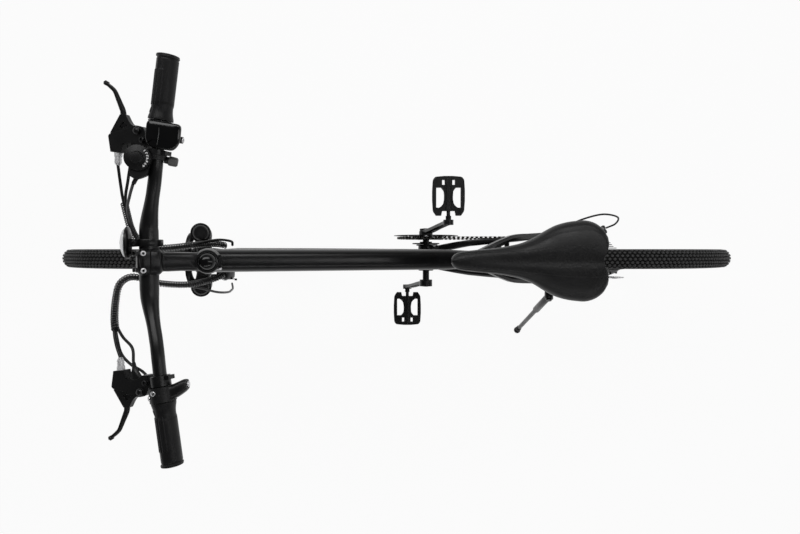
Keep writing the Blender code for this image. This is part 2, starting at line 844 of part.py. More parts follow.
def build_saddle_rails():
    """One bent rod: both rails, joined under the nose."""
    half = RAIL_SPACING / 2
    side = [
        (SADDLE_NOSE_X - 0.262, half * 1.95, RAIL_Z + 0.0128),
        (SADDLE_NOSE_X - 0.245, half * 1.75, RAIL_Z + 0.0108),
        (SADDLE_NOSE_X - 0.215, half * 1.20, RAIL_Z + 0.0022),
        (CLAMP_CENTRE.x - 0.030, half, RAIL_Z),
        (CLAMP_CENTRE.x + 0.030, half, RAIL_Z),
        (SADDLE_NOSE_X - 0.085, half * 0.82, RAIL_Z + 0.0050),
        (SADDLE_NOSE_X - 0.055, half * 0.50, RAIL_Z + 0.0149),
    ]
    nose = (SADDLE_NOSE_X - 0.044, 0.0, RAIL_Z + 0.0174)
    other = [(x, -y, z) for x, y, z in reversed(side)]
    return tube([*side, nose, *other], RAIL_R, resolution=1)


# Kickstand

KICK_PIVOT = REAR_AXLE + Vector((KICK_AHEAD, KICK_OUT, -KICK_LOW))


def kick_foot_point():
    """The foot's underside, where the leaned bicycle's floor meets the leg."""
    y = KICK_PIVOT.y + KICK_FOOT_OUT
    floor = (y - TREAD_FLAT) * math.tan(LEAN)
    return Vector((KICK_PIVOT.x + KICK_FOOT_X, y, floor))


KICK_DOWN = (kick_foot_point() - KICK_PIVOT).normalized()
KICK_STOWED = Vector((-0.99, 0.06, 0.10)).normalized()
KICK_AXIS = KICK_DOWN.cross(KICK_STOWED).normalized()
KICK_DRUM_R = 0.0125
KICK_DRUM_HALF = 0.0095
KICK_BOLT_R = 0.0045


def kick_rod(start, end, radius, sides=8):
    """A rod along the kickstand's bolt, between two distances from its pivot."""
    return rod(KICK_PIVOT + KICK_AXIS * start, KICK_PIVOT + KICK_AXIS * end, radius, sides=sides)


def build_kickstand_bracket():
    """A cast plate bolted against the left chainstay, whose arm ends in the leg's bolt."""
    x, y, z = KICK_PIVOT
    stay_out = DROPOUT_Y + 0.0045
    mount = plate(
        [(-0.055, -0.022), (0.024, -0.026), (0.030, 0.034), (-0.040, 0.056), (-0.062, 0.048)],
        0.005,
        basis((x, stay_out + 0.0025 + GAP, z + 0.008), (1, 0, 0), (0, 0, 1)),
    )
    arm = kick_rod(-0.037, -KICK_DRUM_HALF - GAP, KICK_DRUM_R)
    bolt = kick_rod(-0.020, KICK_DRUM_HALF + 0.002, KICK_BOLT_R)
    head = kick_rod(KICK_DRUM_HALF + GAP, KICK_DRUM_HALF + 0.005, KICK_BOLT_R * 1.9, sides=6)
    return joined(mount, arm, bolt, head)


def build_kickstand_leg():
    """The leg, from its drum on the bolt to a wide foot that lies flat on the floor."""
    foot = kick_foot_point()
    drum = kick_rod(-KICK_DRUM_HALF, KICK_DRUM_HALF, KICK_DRUM_R, sides=10)
    leg = rod(KICK_PIVOT, foot - KICK_DOWN * 0.004, KICK_LEG_R, 0.0065, sides=8)
    pad = block(foot + Vector((0, 0, 0.0045)), (0.030, 0.036, 0.009), bevel=0.0025, segments=1)
    moved(pad, Matrix.Translation(foot) @ Matrix.Rotation(LEAN, 4, "X") @ Matrix.Translation(-foot))
    hole = kick_rod(-KICK_DRUM_HALF - 0.01, KICK_DRUM_HALF + 0.01, bore(KICK_BOLT_R, 8))
    return joined(cut(joined(drum, leg), hole), pad)


# Wheels


def merged(objects):
    """Separate bodies as one object, to use as one operand."""
    bm = bmesh.new()
    for obj in objects:
        bm.from_mesh(obj.data)
        bpy.data.objects.remove(obj, do_unlink=True)
    return shape(bm)


RIM_TOP_R = WHEEL_R - TYRE_H + 0.006
RIM_BED_R = RIM_TOP_R - RIM_DEPTH - 0.0055


def wheel_frame(axle):
    """A frame on an axle whose Z points left, turned so that a flat between two steps stands on the floor."""
    return basis_y(axle) @ Matrix.Rotation(math.pi / WHEEL_STEPS, 4, "Z")


def build_tyre(axle):
    """A casing that is open towards the rim, with its beads inside the rim's walls."""
    half = TYRE_W / 2
    bead = RIM_W / 2 - 0.0025 - GAP
    low = RIM_TOP_R - 0.011
    crown = WHEEL_R / math.cos(math.pi / WHEEL_STEPS)
    side = [
        (crown, TREAD_FLAT),
        (WHEEL_R - TYRE_H * 0.36, half),
        (RIM_TOP_R + 0.0012, bead),
        (low, bead - BEAD_T),
        (WHEEL_R - TYRE_H * 0.40, half * 0.70),
    ]
    mirrored = [(r, -y) for r, y in reversed(side)]
    return turned(side + mirrored, wheel_frame(axle), sides=WHEEL_STEPS, ring=True)


def build_rim(axle):
    half = RIM_W / 2
    wall = half - 0.0025
    side = [
        (RIM_TOP_R, wall),
        (RIM_TOP_R, half),
        (RIM_BED_R, half * 0.62),
    ]
    other = [(r, -y) for r, y in reversed(side)]
    floor = [(RIM_BED_R + 0.0065, -wall * 0.8), (RIM_BED_R + 0.0065, wall * 0.8)]
    return turned(side + other + floor, wheel_frame(axle), sides=WHEEL_STEPS, ring=True)


def spokes(axle, flanges):
    """Crossed spokes from two flanges, each (y, radius), to the rim bed."""
    made = []
    each = SPOKES // 2
    end_r = RIM_BED_R * math.cos(math.pi / WHEEL_STEPS) - 2 * GAP
    for side, (flange_y, flange_r) in enumerate(flanges):
        for i in range(each):
            start_angle = math.tau * (i + 0.5 * side) / each
            lead = 1 if i % 2 else -1
            end_angle = start_angle + lead * math.tau * 0.068
            out = math.copysign(0.0017, flange_y) * lead
            a = (flange_r - 0.0028, start_angle, flange_y + out)
            b = (end_r, end_angle, math.copysign(0.0035, flange_y))
            ends = [axle + Vector((r * math.cos(t), y, r * math.sin(t))) for r, t, y in (a, b)]
            made.append(rod(ends[0], ends[1], SPOKE_R, sides=3))
    return merged(made)


def build_front_hub():
    face = FRONT_OLD / 2 - GAP
    seat = FRONT_ROTOR_Y - ROTOR_T / 2 - GAP
    f = FRONT_FLANGE_Y
    r = FRONT_FLANGE_R
    profile = [
        (bore(FRONT_AXLE_R, 14), face),
        (0.0085, face),
        (0.0165, seat + 0.004),
        (0.0165, seat),
        (0.0205, seat),
        (r, f + 0.0024),
        (r, f - 0.0024),
        (0.0120, f - 0.007),
        (0.0120, -f + 0.007),
        (r, -f + 0.0024),
        (r, -f - 0.0024),
        (0.0085, -face),
        (bore(FRONT_AXLE_R, 14), -face),
    ]
    hub = turned(profile, basis_y(FRONT_AXLE), sides=14, ring=True)
    return joined(hub, spokes(FRONT_AXLE, ((f, r), (-f, r))))


FREEHUB_R = 0.0168
MOTOR_SIDES = 16
BIG_COG_Y = CHAIN_Y + 6 * COG_STEP


def build_hub_motor():
    """The geared motor's shell, laced to the rim, with the screw-on seat for the cogs on its right."""
    seat = REAR_ROTOR_Y - ROTOR_T / 2 - GAP
    right = BIG_COG_Y + TOOTH_W + 0.0016
    left = REAR_ROTOR_Y - 0.0135
    profile = [
        (bore(REAR_AXLE_R, MOTOR_SIDES), REAR_OLD / 2 - 0.006 - GAP),
        (0.0120, REAR_OLD / 2 - 0.006 - GAP),
        (0.0165, seat + 0.004),
        (0.0165, seat),
        (0.0240, seat),
        (MOTOR_R * 0.88, left),
        (MOTOR_R, left - 0.007),
        (MOTOR_R + 0.004, left - 0.0090),
        (MOTOR_R + 0.004, left - 0.0132),
        (MOTOR_R, left - 0.0150),
        (MOTOR_R, right + 0.0080),
        (MOTOR_R + 0.004, right + 0.0062),
        (MOTOR_R + 0.004, right + 0.0020),
        (FREEHUB_R, right),
        (FREEHUB_R, CHAIN_Y + 0.002),
        (0.0120, -REAR_OLD / 2 + 0.006 + GAP),
        (bore(REAR_AXLE_R, MOTOR_SIDES), -REAR_OLD / 2 + 0.006 + GAP),
    ]
    hub = turned(profile, basis_y(REAR_AXLE), sides=MOTOR_SIDES, ring=True)
    flange = MOTOR_R + 0.004
    return joined(hub, spokes(REAR_AXLE, ((left - 0.0112, flange), (right + 0.0042, flange))))


def build_rotor(axle, y):
    windows = []
    for i in range(6):
        a = math.tau * i / 6
        corners = [
            (ROTOR_R * r, a + t) for r, t in ((0.40, -0.30), (0.74, -0.10), (0.76, 0.62), (0.40, 0.34))
        ]
        windows.append([(r * math.cos(t), r * math.sin(t)) for r, t in corners])
    holes = [circle((0, 0), bore(0.0165, 10), 10), *windows]
    return plate(circle((0, 0), ROTOR_R, 24), ROTOR_T, basis_y(axle + ACROSS * y), holes)


# Drive


def pitch_radius(teeth):
    return teeth * CHAIN_PITCH / math.tau


GUIDE_PULLEY = REAR_AXLE + Vector((-0.004, CHAIN_Y, -0.0685))
CAGE_L = 0.056
CAGE_START = math.radians(-52.0)


def tangent(a, b):
    """The direction of the run from circle a to circle b, each (centre x, z, radius, turn)."""
    away = Vector((b[0] - a[0], b[1] - a[1]))
    reach = b[3] * b[2] - a[3] * a[2]
    return math.atan2(away.y, away.x) - math.asin(reach / away.length)


def chain_circles(cage_angle):
    """Chainring, small cog, guide pulley and tension pulley; a turn of 1 is anticlockwise from the left."""
    pulley = pitch_radius(PULLEY_T)
    tension = (
        GUIDE_PULLEY.x + CAGE_L * math.cos(cage_angle), GUIDE_PULLEY.z + CAGE_L * math.sin(cage_angle)
    )
    return [
        (BB.x, BB.z, pitch_radius(CHAINRING_T), 1),
        (REAR_AXLE.x, REAR_AXLE.z, pitch_radius(SMALL_COG_T), 1),
        (GUIDE_PULLEY.x, GUIDE_PULLEY.z, pulley, -1),
        (tension[0], tension[1], pulley, 1),
    ]


def chain_route(cage_angle):
    """The loop as runs: ("line", start, end, length), ("arc", circle, start angle, swept angle, length)."""
    circles = chain_circles(cage_angle)
    count = len(circles)
    headings = [tangent(circles[i], circles[(i + 1) % count]) for i in range(count)]
    runs = []
    for i, heading in enumerate(headings):
        a = circles[i]
        b = circles[(i + 1) % count]
        left = Vector((-math.sin(heading), math.cos(heading)))
        start = Vector(a[:2]) - left * a[2] * a[3]
        end = Vector(b[:2]) - left * b[2] * b[3]
        runs.append(("line", start, end, (end - start).length))
        swept = (headings[(i + 1) % count] - heading) * b[3] % math.tau
        first = math.atan2(end.y - b[1], end.x - b[0])
        runs.append(("arc", b, first, swept * b[3], swept * b[2]))
    return runs


def chain_length(cage_angle):
    return sum(run[-1] for run in chain_route(cage_angle))


def fitted_cage_angle():
    """The cage angle at which the chain is a whole, even number of links."""
    low = CAGE_START - math.radians(24)
    high = CAGE_START + math.radians(24)
    links = 2 * round(chain_length(CAGE_START) / CHAIN_PITCH / 2)
    target = links * CHAIN_PITCH
    for _ in range(50):
        middle = (low + high) / 2
        if (chain_length(middle) - target) * (chain_length(high) - target) <= 0:
            low = middle
        else:
            high = middle
    return (low + high) / 2, links


CAGE_ANGLE, CHAIN_LINKS = fitted_cage_angle()
CHAIN_ROUTE = chain_route(CAGE_ANGLE)
TENSION_PULLEY = GUIDE_PULLEY + Vector((math.cos(CAGE_ANGLE), 0, math.sin(CAGE_ANGLE))) * CAGE_L


def chain_point(distance):
    """A point on the chain's pitch line, and its heading."""
    distance %= CHAIN_LINKS * CHAIN_PITCH
    for run in CHAIN_ROUTE:
        if distance <= run[-1] or run is CHAIN_ROUTE[-1]:
            break
        distance -= run[-1]
    if run[0] == "line":
        ahead = (run[2] - run[1]).normalized()
        point = run[1] + ahead * distance
        return point, ahead
    _, centre, first, swept, _ = run
    turn = centre[3]
    angle = first + turn * distance / centre[2]
    out = Vector((math.cos(angle), math.sin(angle)))
    return Vector(centre[:2]) + out * centre[2], Vector((-out.y, out.x)) * turn


def tooth_phase(index, teeth):
    """The angle of a gap between teeth on circle 1 to 3, or on the chainring as 0, where a pin lies."""
    if index == 0:
        start = CHAIN_ROUTE[0][1]
        return math.atan2(start.y - BB.z, start.x - BB.x)
    reached = sum(run[-1] for run in CHAIN_ROUTE[: 2 * index - 1])
    _, centre, first, _, _ = CHAIN_ROUTE[2 * index - 1]
    to_pin = -reached % CHAIN_PITCH
    return first + centre[3] * to_pin / CHAIN_PITCH * math.tau / teeth


PIN_HALF = 0.0019
CHAIN_HALF_H = 0.0041
CHAIN_IN = TOOTH_W / 2 + 0.0004
CHAIN_OUT = 0.0034


def tooth_outline(teeth, phase):
    """A sprocket's outline with the middle of a gap at the phase."""
    root = pitch_radius(teeth) - CHAIN_HALF_H - 0.0043
    tip = pitch_radius(teeth) + 0.0028
    step = math.tau / teeth
    made = []
    for i in range(teeth):
        a = phase + step * i
        made += [(r * math.cos(t), r * math.sin(t)) for r, t in ((root, a), (tip, a + step / 2))]
    return made


def side_frame(centre, y):
    """A frame in the plane of the chain: its X is forward, its Y is up and its Z points right."""
    return basis((centre[0], y, centre[2]), (1, 0, 0), (0, 0, 1))


def pin_step(distance):
    """How many pitches apart the modelled pins are: fewer round a small wheel, more on a straight run."""
    for run in CHAIN_ROUTE:
        if distance <= run[-1]:
            break
        distance -= run[-1]
    if run[0] == "line":
        return 4
    return 1 if run[1][2] < pitch_radius(CHAINRING_T) else 2


def build_chain():
    """Two runs of side plates joined by pins."""
    bm = bmesh.new()
    spots = []
    for k in range(CHAIN_LINKS):
        if k % pin_step(k * CHAIN_PITCH) == 0:
            spots.append(k * CHAIN_PITCH)
    rows = {-2: -CHAIN_OUT, -1: -CHAIN_IN, 1: CHAIN_IN, 2: CHAIN_OUT}
    rings = []
    for spot in spots:
        for offset in (-PIN_HALF, PIN_HALF):
            point, ahead = chain_point(spot + offset)
            up = Vector((-ahead.y, ahead.x)) * CHAIN_HALF_H
            ring = {}
            for row, y in rows.items():
                for edge in (-1, 1):
                    flat = point + up * edge
                    ring[row, edge] = bm.verts.new((flat.x, CHAIN_Y + y, flat.y))
            rings.append(ring)
    for i, ring in enumerate(rings):
        after = rings[(i + 1) % len(rings)]
        at_pin = i % 2 == 0
        for side in (-1, 1):
            far = side * 2
            bm.faces.new((ring[far, -1], after[far, -1], after[far, 1], ring[far, 1]))
            for edge in (-1, 1):
                bm.faces.new((ring[side, edge], after[side, edge], after[far, edge], ring[far, edge]))
            if not at_pin:
                bm.faces.new((ring[side, -1], after[side, -1], after[side, 1], ring[side, 1]))
        if at_pin:
            for edge in (-1, 1):
                bm.faces.new((ring[-1, edge], after[-1, edge], after[1, edge], ring[1, edge]))
            for end in (ring, after):
                bm.faces.new((end[-1, -1], end[-1, 1], end[1, 1], end[1, -1]))
    return shape(bm)


SPIDER_Y = CHAIN_Y + TOOTH_W / 2 + GAP + 0.0018
SPIDER_R = 0.0560


def build_chainring():
    """The toothed ring with its riveted guard plate outside it."""
    phase = tooth_phase(0, CHAINRING_T)
    windows = []
    for i in range(5):
        a = math.tau * (i + 0.5) / 5
        corners = [(0.0500, a - 0.36), (0.0680, a - 0.42), (0.0680, a + 0.42), (0.0500, a + 0.36)]
        windows.append([(r * math.cos(t), r * math.sin(t)) for r, t in corners])
    ring = plate(
        tooth_outline(CHAINRING_T, phase), TOOTH_W, side_frame(BB, CHAIN_Y), [
            circle((0, 0), 0.0440, 10), *windows
        ]
    )
    guard_windows = []
    for i in range(5):
        a = math.tau * (i + 0.5) / 5
        corners = [(0.0560, a - 0.40), (0.0800, a - 0.42), (0.0800, a + 0.42), (0.0560, a + 0.40)]
        guard_windows.append([(r * math.cos(t), r * math.sin(t)) for r, t in corners])
    guard = plate(
        circle((0, 0), GUARD_R, 25), 0.0018, side_frame(BB, GUARD_Y), [
            circle((0, 0), 0.0440, 10), *guard_windows
        ]
    )
    posts = []
    for i in range(5):
        a = math.tau * i / 5
        spot = BB + Vector((0.0500 * math.cos(a), 0, 0.0500 * math.sin(a)))
        posts.append(
            rod(spot + ACROSS * (CHAIN_Y + 0.0004), spot + ACROSS * (GUARD_Y - 0.0016), 0.0052, sides=5)
        )
    return joined(ring, guard, merged(posts))


COG_TEETH = (14, 16, 18, 20, 22, 24, 28)


def build_freewheel():
    """Seven cogs on one body, the smallest in mesh with the chain."""
    phase = tooth_phase(1, SMALL_COG_T)
    body_r = pitch_radius(SMALL_COG_T) - CHAIN_HALF_H - 0.0042
    high = REAR_AXLE + ACROSS * (BIG_COG_Y + TOOTH_W / 2 + 0.0003)
    low = REAR_AXLE + ACROSS * (CHAIN_Y - 0.0022)
    cogs = []
    for i, teeth in enumerate((SMALL_COG_T, *COG_TEETH[1:])):
        outline = tooth_outline(teeth, phase)
        cogs.append(plate(outline, TOOTH_W, side_frame(REAR_AXLE, CHAIN_Y + i * COG_STEP)))
    whole = joined(rod(low, high, body_r, sides=10), *cogs)
    return cut(whole, rod(low - ACROSS * 0.01, high + ACROSS * 0.01, bore(FREEHUB_R, 10), sides=10))


def build_pulley(centre, index):
    ring = plate(
        tooth_outline(PULLEY_T, tooth_phase(index, PULLEY_T)), TOOTH_W, side_frame(centre, CHAIN_Y)
    )
    hub = rod(centre - ACROSS * 0.0046, centre + ACROSS * 0.0046, 0.0085, sides=8)
    hole = rod(centre - ACROSS * 0.01, centre + ACROSS * 0.01, bore(0.0028, 6), sides=6)
    return cut(joined(ring, hub), hole)


CAGE_IN = 0.0052
CAGE_PLATE_T = 0.0018


def build_derailleur_cage():
    """Two plates round the pulleys, held apart by the pulley bolts."""
    ahead = TENSION_PULLEY - GUIDE_PULLEY
    length = ahead.length
    outline = rounded(
        [
            (-0.011, -0.010),
            (length + 0.010, -0.0085),
            (length + 0.012, 0.0085),
            (-0.004, 0.012),
            (-0.013, 0.006),
        ], 0.009, 1
    )
    parts = []
    for side in (-1, 1):
        y = CHAIN_Y + side * (CAGE_IN + CAGE_PLATE_T / 2)
        parts.append(
            plate(outline, CAGE_PLATE_T, basis((GUIDE_PULLEY.x, y, GUIDE_PULLEY.z), ahead, (0, 0, 1)))
        )
    reach = CAGE_IN + CAGE_PLATE_T
    bolts = []
    for centre in (GUIDE_PULLEY, TENSION_PULLEY):
        bolts.append(
            rod(centre - ACROSS * (reach + 0.001), centre + ACROSS * (reach + 0.0012), 0.0028, sides=6)
        )
    return joined(parts[0], parts[1], *bolts)


# The derailleur's parallelogram swings about slanted pins, so that the cage moves in and down along the cogs
LINK_L = 0.044
LINK_SLANT = math.radians(40.0)
LINK_REST = math.radians(-8.0)
LINK_AXIS = Vector((0, math.sin(LINK_SLANT), math.cos(LINK_SLANT)))
LINK_IN = Vector((0, math.cos(LINK_SLANT), -math.sin(LINK_SLANT)))
KNUCKLE_Y = CHAIN_Y - 0.0300
LINK_END = Vector((GUIDE_PULLEY.x, KNUCKLE_Y, GUIDE_PULLEY.z + 0.006))
LINK_START = LINK_END - (Vector((1, 0, 0)) * math.cos(LINK_REST) + LINK_IN * math.sin(LINK_REST)) * LINK_L


def build_derailleur_body():
    """The upper knuckle, bolted to the hanger behind the right dropout."""
    hanger = REAR_AXLE + Vector((-0.012, -DROPOUT_Y - DROPOUT_T / 2 - GAP, -0.030))
    drum = rod(hanger, hanger - ACROSS * 0.012, 0.0105, sides=8)
    arm = sweep(
        [hanger - ACROSS * 0.0065, hanger.lerp(LINK_START, 0.6) - ACROSS * 0.004, LINK_START],
        [(0.0055, 0.0085), (0.0055, 0.0075), (0.0065, 0.0065)],
        power=3,
        sides=6,
    )
    pin = rod(LINK_START - LINK_AXIS * 0.0125, LINK_START + LINK_AXIS * 0.0125, 0.0066, sides=8)
    slot = rod(LINK_START - LINK_AXIS * 0.0062, LINK_START + LINK_AXIS * 0.0062, 0.0210, sides=8)
    core = rod(LINK_START - LINK_AXIS * 0.007, LINK_START + LINK_AXIS * 0.007, 0.0022, sides=6)
    return joined(cut(joined(drum, arm, pin), slot), core)


def build_derailleur_link():
    """The two links of the parallelogram as one arm between the knuckles' pins."""
    ends = []
    for spot in (LINK_START, LINK_END):
        ends.append(rod(spot - LINK_AXIS * 0.0058, spot + LINK_AXIS * 0.0058, 0.0058, sides=8))
    arm = sweep(
        [LINK_START, LINK_END], [(0.0050, 0.0042), (0.0050, 0.0042)], power=6, sides=4, across=LINK_AXIS
    )
    holes = [
        rod(spot - LINK_AXIS * 0.01, spot + LINK_AXIS * 0.01, bore(0.0022, 6), sides=6)
        for spot in (LINK_START, LINK_END)
    ]
    return cut(joined(ends[0], ends[1], arm), *holes)


def build_derailleur_knuckle():
    """The lower knuckle, which carries the cage on its boss."""
    boss_end = CHAIN_Y - CAGE_IN - CAGE_PLATE_T - 0.001 - GAP
    pin = rod(LINK_END - LINK_AXIS * 0.0125, LINK_END + LINK_AXIS * 0.0125, 0.0066, sides=8)
    slot = rod(LINK_END - LINK_AXIS * 0.0062, LINK_END + LINK_AXIS * 0.0062, 0.0125, sides=8)
    core = rod(LINK_END - LINK_AXIS * 0.007, LINK_END + LINK_AXIS * 0.007, 0.0022, sides=6)
    low = LINK_END + Vector((0.012, 0.004, -0.006))
    boss_start = Vector((GUIDE_PULLEY.x, boss_end - 0.010, GUIDE_PULLEY.z))
    boss = rod(boss_start, (GUIDE_PULLEY.x, boss_end, GUIDE_PULLEY.z), 0.0095, sides=10)
    web = sweep(
        [LINK_END - LINK_AXIS * 0.0130, low - Vector((0, 0, 0.008)), boss_start + ACROSS * 0.005],
        [(0.0045, 0.0050), (0.0055, 0.0060), (0.0050, 0.0070)],
        power=3,
        sides=6,
        across=(1, 0, 0),
    )
    return joined(cut(joined(pin, boss), slot), core, web)


def crank_end(side):
    """The pedal axle's place on one crank; the right crank is at the crank angle and the left is opposite."""
    angle = CRANK_ANGLE if side < 0 else CRANK_ANGLE + math.pi
    return BB + Vector((math.cos(angle), 0, math.sin(angle))) * CRANK_L


def crank_arm(side):
    root = BB + ACROSS * side * CRANK_ROOT_Y
    end = crank_end(side) + ACROSS * side * CRANK_END_Y
    bulges = ((0, 0), (0.22, -0.003), (0.6, -0.001), (1, 0))
    path = [root.lerp(end, t) + ACROSS * side * bulge for t, bulge in bulges]
    half = CRANK_T / 2
    sizes = [(half * 1.05, 0.0165), (half, 0.0140), (half * 0.94, 0.0115), (half * 0.96, 0.0125)]
    arm = sweep(path, sizes, power=3.5, sides=8)
    root_boss = rod(root - ACROSS * side * half * 1.7, root + ACROSS * side * half * 1.15, 0.0185, sides=10)
    end_boss = rod(end - ACROSS * half, end + ACROSS * half, 0.0138, sides=10)
    pedal_axle = rod(
        end, crank_end(side) + ACROSS * side * (PEDAL_IN_Y + PEDAL_L - 0.010), PEDAL_AXLE_R, sides=8
    )
    flats = rod(end, crank_end(side) + ACROSS * side * (PEDAL_IN_Y - 0.0006), 0.0082, sides=6)
    return joined(arm, root_boss, end_boss, pedal_axle, flats)


def build_crank_right():
    """The right arm with its five-armed spider and the spindle that runs through to the left."""
    spindle_end = CRANK_ROOT_Y - CRANK_T / 2 * 1.7 + 0.016
    spindle = rod(BB - ACROSS * CRANK_ROOT_Y, BB + ACROSS * spindle_end, SPINDLE_R, sides=12)
    hub = rod(BB + ACROSS * (SPIDER_Y + 0.0016), BB - ACROSS * CRANK_ROOT_Y, 0.0200, sides=10)
    arms = []
    for i in range(5):
        a = math.tau * i / 5
        tip = Vector((math.cos(a), 0, math.sin(a)))
        start = BB + ACROSS * SPIDER_Y + tip * 0.012
        end = BB + ACROSS * SPIDER_Y + tip * SPIDER_R
        arms.append(sweep([start, end], [(0.0016, 0.0100), (0.0016, 0.0062)], power=5, sides=4))
    return joined(crank_arm(-1), spindle, hub, *arms)


def build_crank_left():
    hole_end = CRANK_ROOT_Y - CRANK_T / 2 * 1.7 + 0.016 + GAP
    hole = rod(BB, BB + ACROSS * hole_end, bore(SPINDLE_R, 12), sides=12)
    return cut(crank_arm(1), hole)


def build_magnet_disc():
    """The disc of magnets beside the pedal sensor, held on the spindle."""
    y = -BB_SHELL_W / 2 - 0.0062
    profile = [
        (bore(SPINDLE_R, 12), y + 0.0014),
        (0.0395, y + 0.0014),
        (0.0395, y - 0.0020),
        (0.0180, y - 0.0020),
        (0.0180, y - 0.0060),
        (bore(SPINDLE_R, 12), y - 0.0060),
    ]
    return turned(profile, basis_y(BB), sides=12, ring=True)


def build_pedal(side):
    """A moulded platform: a rounded frame, an hourglass spine and open windows."""
    half_l = PEDAL_L / 2
    half_w = PEDAL_W / 2
    outline = [
        (-half_l, -half_w * 0.80),
        (-half_l * 0.72, -half_w),
        (half_l * 0.80, -half_w),
        (half_l, -half_w * 0.80),
        (half_l, half_w * 0.80),
        (half_l * 0.80, half_w),
        (-half_l * 0.72, half_w),
        (-half_l, half_w * 0.80),
        (-half_l, half_w * 0.46),
        (-half_l * 0.76, half_w * 0.40),
        (-half_l * 0.76, -half_w * 0.40),
        (-half_l, -half_w * 0.46),
    ]
    windows = []
    for sign in (-1, 1):
        large = [
            (-0.030, 0.024),
            (-0.018, 0.0135),
            (0.012, 0.0125),
            (0.023, 0.0200),
            (0.023, 0.0325),
            (-0.030, 0.0325),
        ]
        windows.append([(x, sign * y) for x, y in large])
        small = [(0.030, 0.006), (0.0435, 0.006), (0.0435, 0.0170), (0.030, 0.0170)]
        windows.append([(x, sign * y) for x, y in small])
    centre = crank_end(side) + ACROSS * side * (PEDAL_IN_Y + half_l)
    body = plate(outline, PEDAL_T * 0.62, basis(centre, ACROSS * side, (1, 0, 0)), windows)
    spine = sweep(
        [centre + ACROSS * side * x for x in (-half_l * 0.76, 0.0, half_l * 0.92)],
        [
            (PEDAL_T * 0.50, PEDAL_T * 0.50),
            (PEDAL_T * 0.42, PEDAL_T * 0.46),
            (PEDAL_T * 0.50, PEDAL_T * 0.45),
        ],
        power=3,
        sides=8,
        across=(1, 0, 0),
    )
    start = crank_end(side) + ACROSS * side * (PEDAL_IN_Y - 0.02)
    end = crank_end(side) + ACROSS * side * (PEDAL_IN_Y + PEDAL_L - 0.010 + GAP)
    hole = rod(start, end, bore(PEDAL_AXLE_R, 8), sides=8)
    return cut(joined(body, spine), hole)


# Disc brakes

CALIPER_ANGLE = {"front": math.radians(167.0), "rear": math.radians(25.0)}
CALIPER_OUT = {"front": 0.0240, "rear": 0.0150}
CALIPER_IN = 0.0088


def caliper_frame(which):
    """A frame on the rotor's edge: X points out from the axle, Y round the rotor and Z to the left."""
    axle, y = (FRONT_AXLE, FRONT_ROTOR_Y) if which == "front" else (REAR_AXLE, REAR_ROTOR_Y)
    angle = CALIPER_ANGLE[which]
    out = Vector((math.cos(angle), 0, math.sin(angle)))
    round_it = Vector((-out.z, 0, out.x))
    sign = 1 if out.cross(round_it).y > 0 else -1
    return basis(axle + ACROSS * y + out * (ROTOR_R - 0.010), out, round_it * sign)


def caliper_pivot(which):
    return caliper_frame(which) @ Vector((0.004, 0, CALIPER_OUT[which]))


def build_caliper(which):
    """A cast body that straddles the rotor, with a seat for its arm."""
    place = caliper_frame(which)
    outer = CALIPER_OUT[which]
    slot = block((-0.010, 0, 0), (0.046, 0.060, ROTOR_T + 0.0022), frame=place)
    pocket = rod(
        place @ Vector((0.004, 0, outer - 0.003)),
        place @ Vector((0.004, 0, outer + 0.010)),
        0.0095,
        sides=10,
    )
    pin = rod(
        place @ Vector((0.004, 0, outer - 0.006)),
        place @ Vector((0.004, 0, outer + 0.0032)),
        0.0030,
        sides=6,
    )
    return joined(cut(caliper_block(which), slot, pocket), pin)


def build_caliper_arm(which):
    """The cable arm on the caliper's outer face."""
    place = caliper_frame(which)
    outer = CALIPER_OUT[which]
    reach = -1 if which == "front" else 1
    seat = outer - 0.003 + GAP
    drum = rod(
        place @ Vector((0.004, 0, seat)), place @ Vector((0.004, 0, outer + 0.0030)), 0.0090, sides=10
    )
    path = [(0.004, 0.0), (0.018, reach * 0.008), (0.032, reach * 0.014)]
    middle = outer + 0.0016
    arm = sweep(
        [place @ Vector((x, y, middle)) for x, y in path],
        [(0.0013, 0.0065), (0.0013, 0.0058), (0.0013, 0.0050)],
        power=4,
        sides=4,
        across=ACROSS,
    )
    screw = rod(
        place @ Vector((0.030, reach * 0.013, outer + 0.0010)),
        place @ Vector((0.030, reach * 0.013, outer + 0.0058)),
        0.0034,
        sides=6,
    )
    hole = rod(
        place @ Vector((0.004, 0, outer - 0.02)),
        place @ Vector((0.004, 0, outer + 0.02)),
        bore(0.0030, 6),
        sides=6,
    )
    return cut(joined(drum, arm, screw), hole)


# Fork


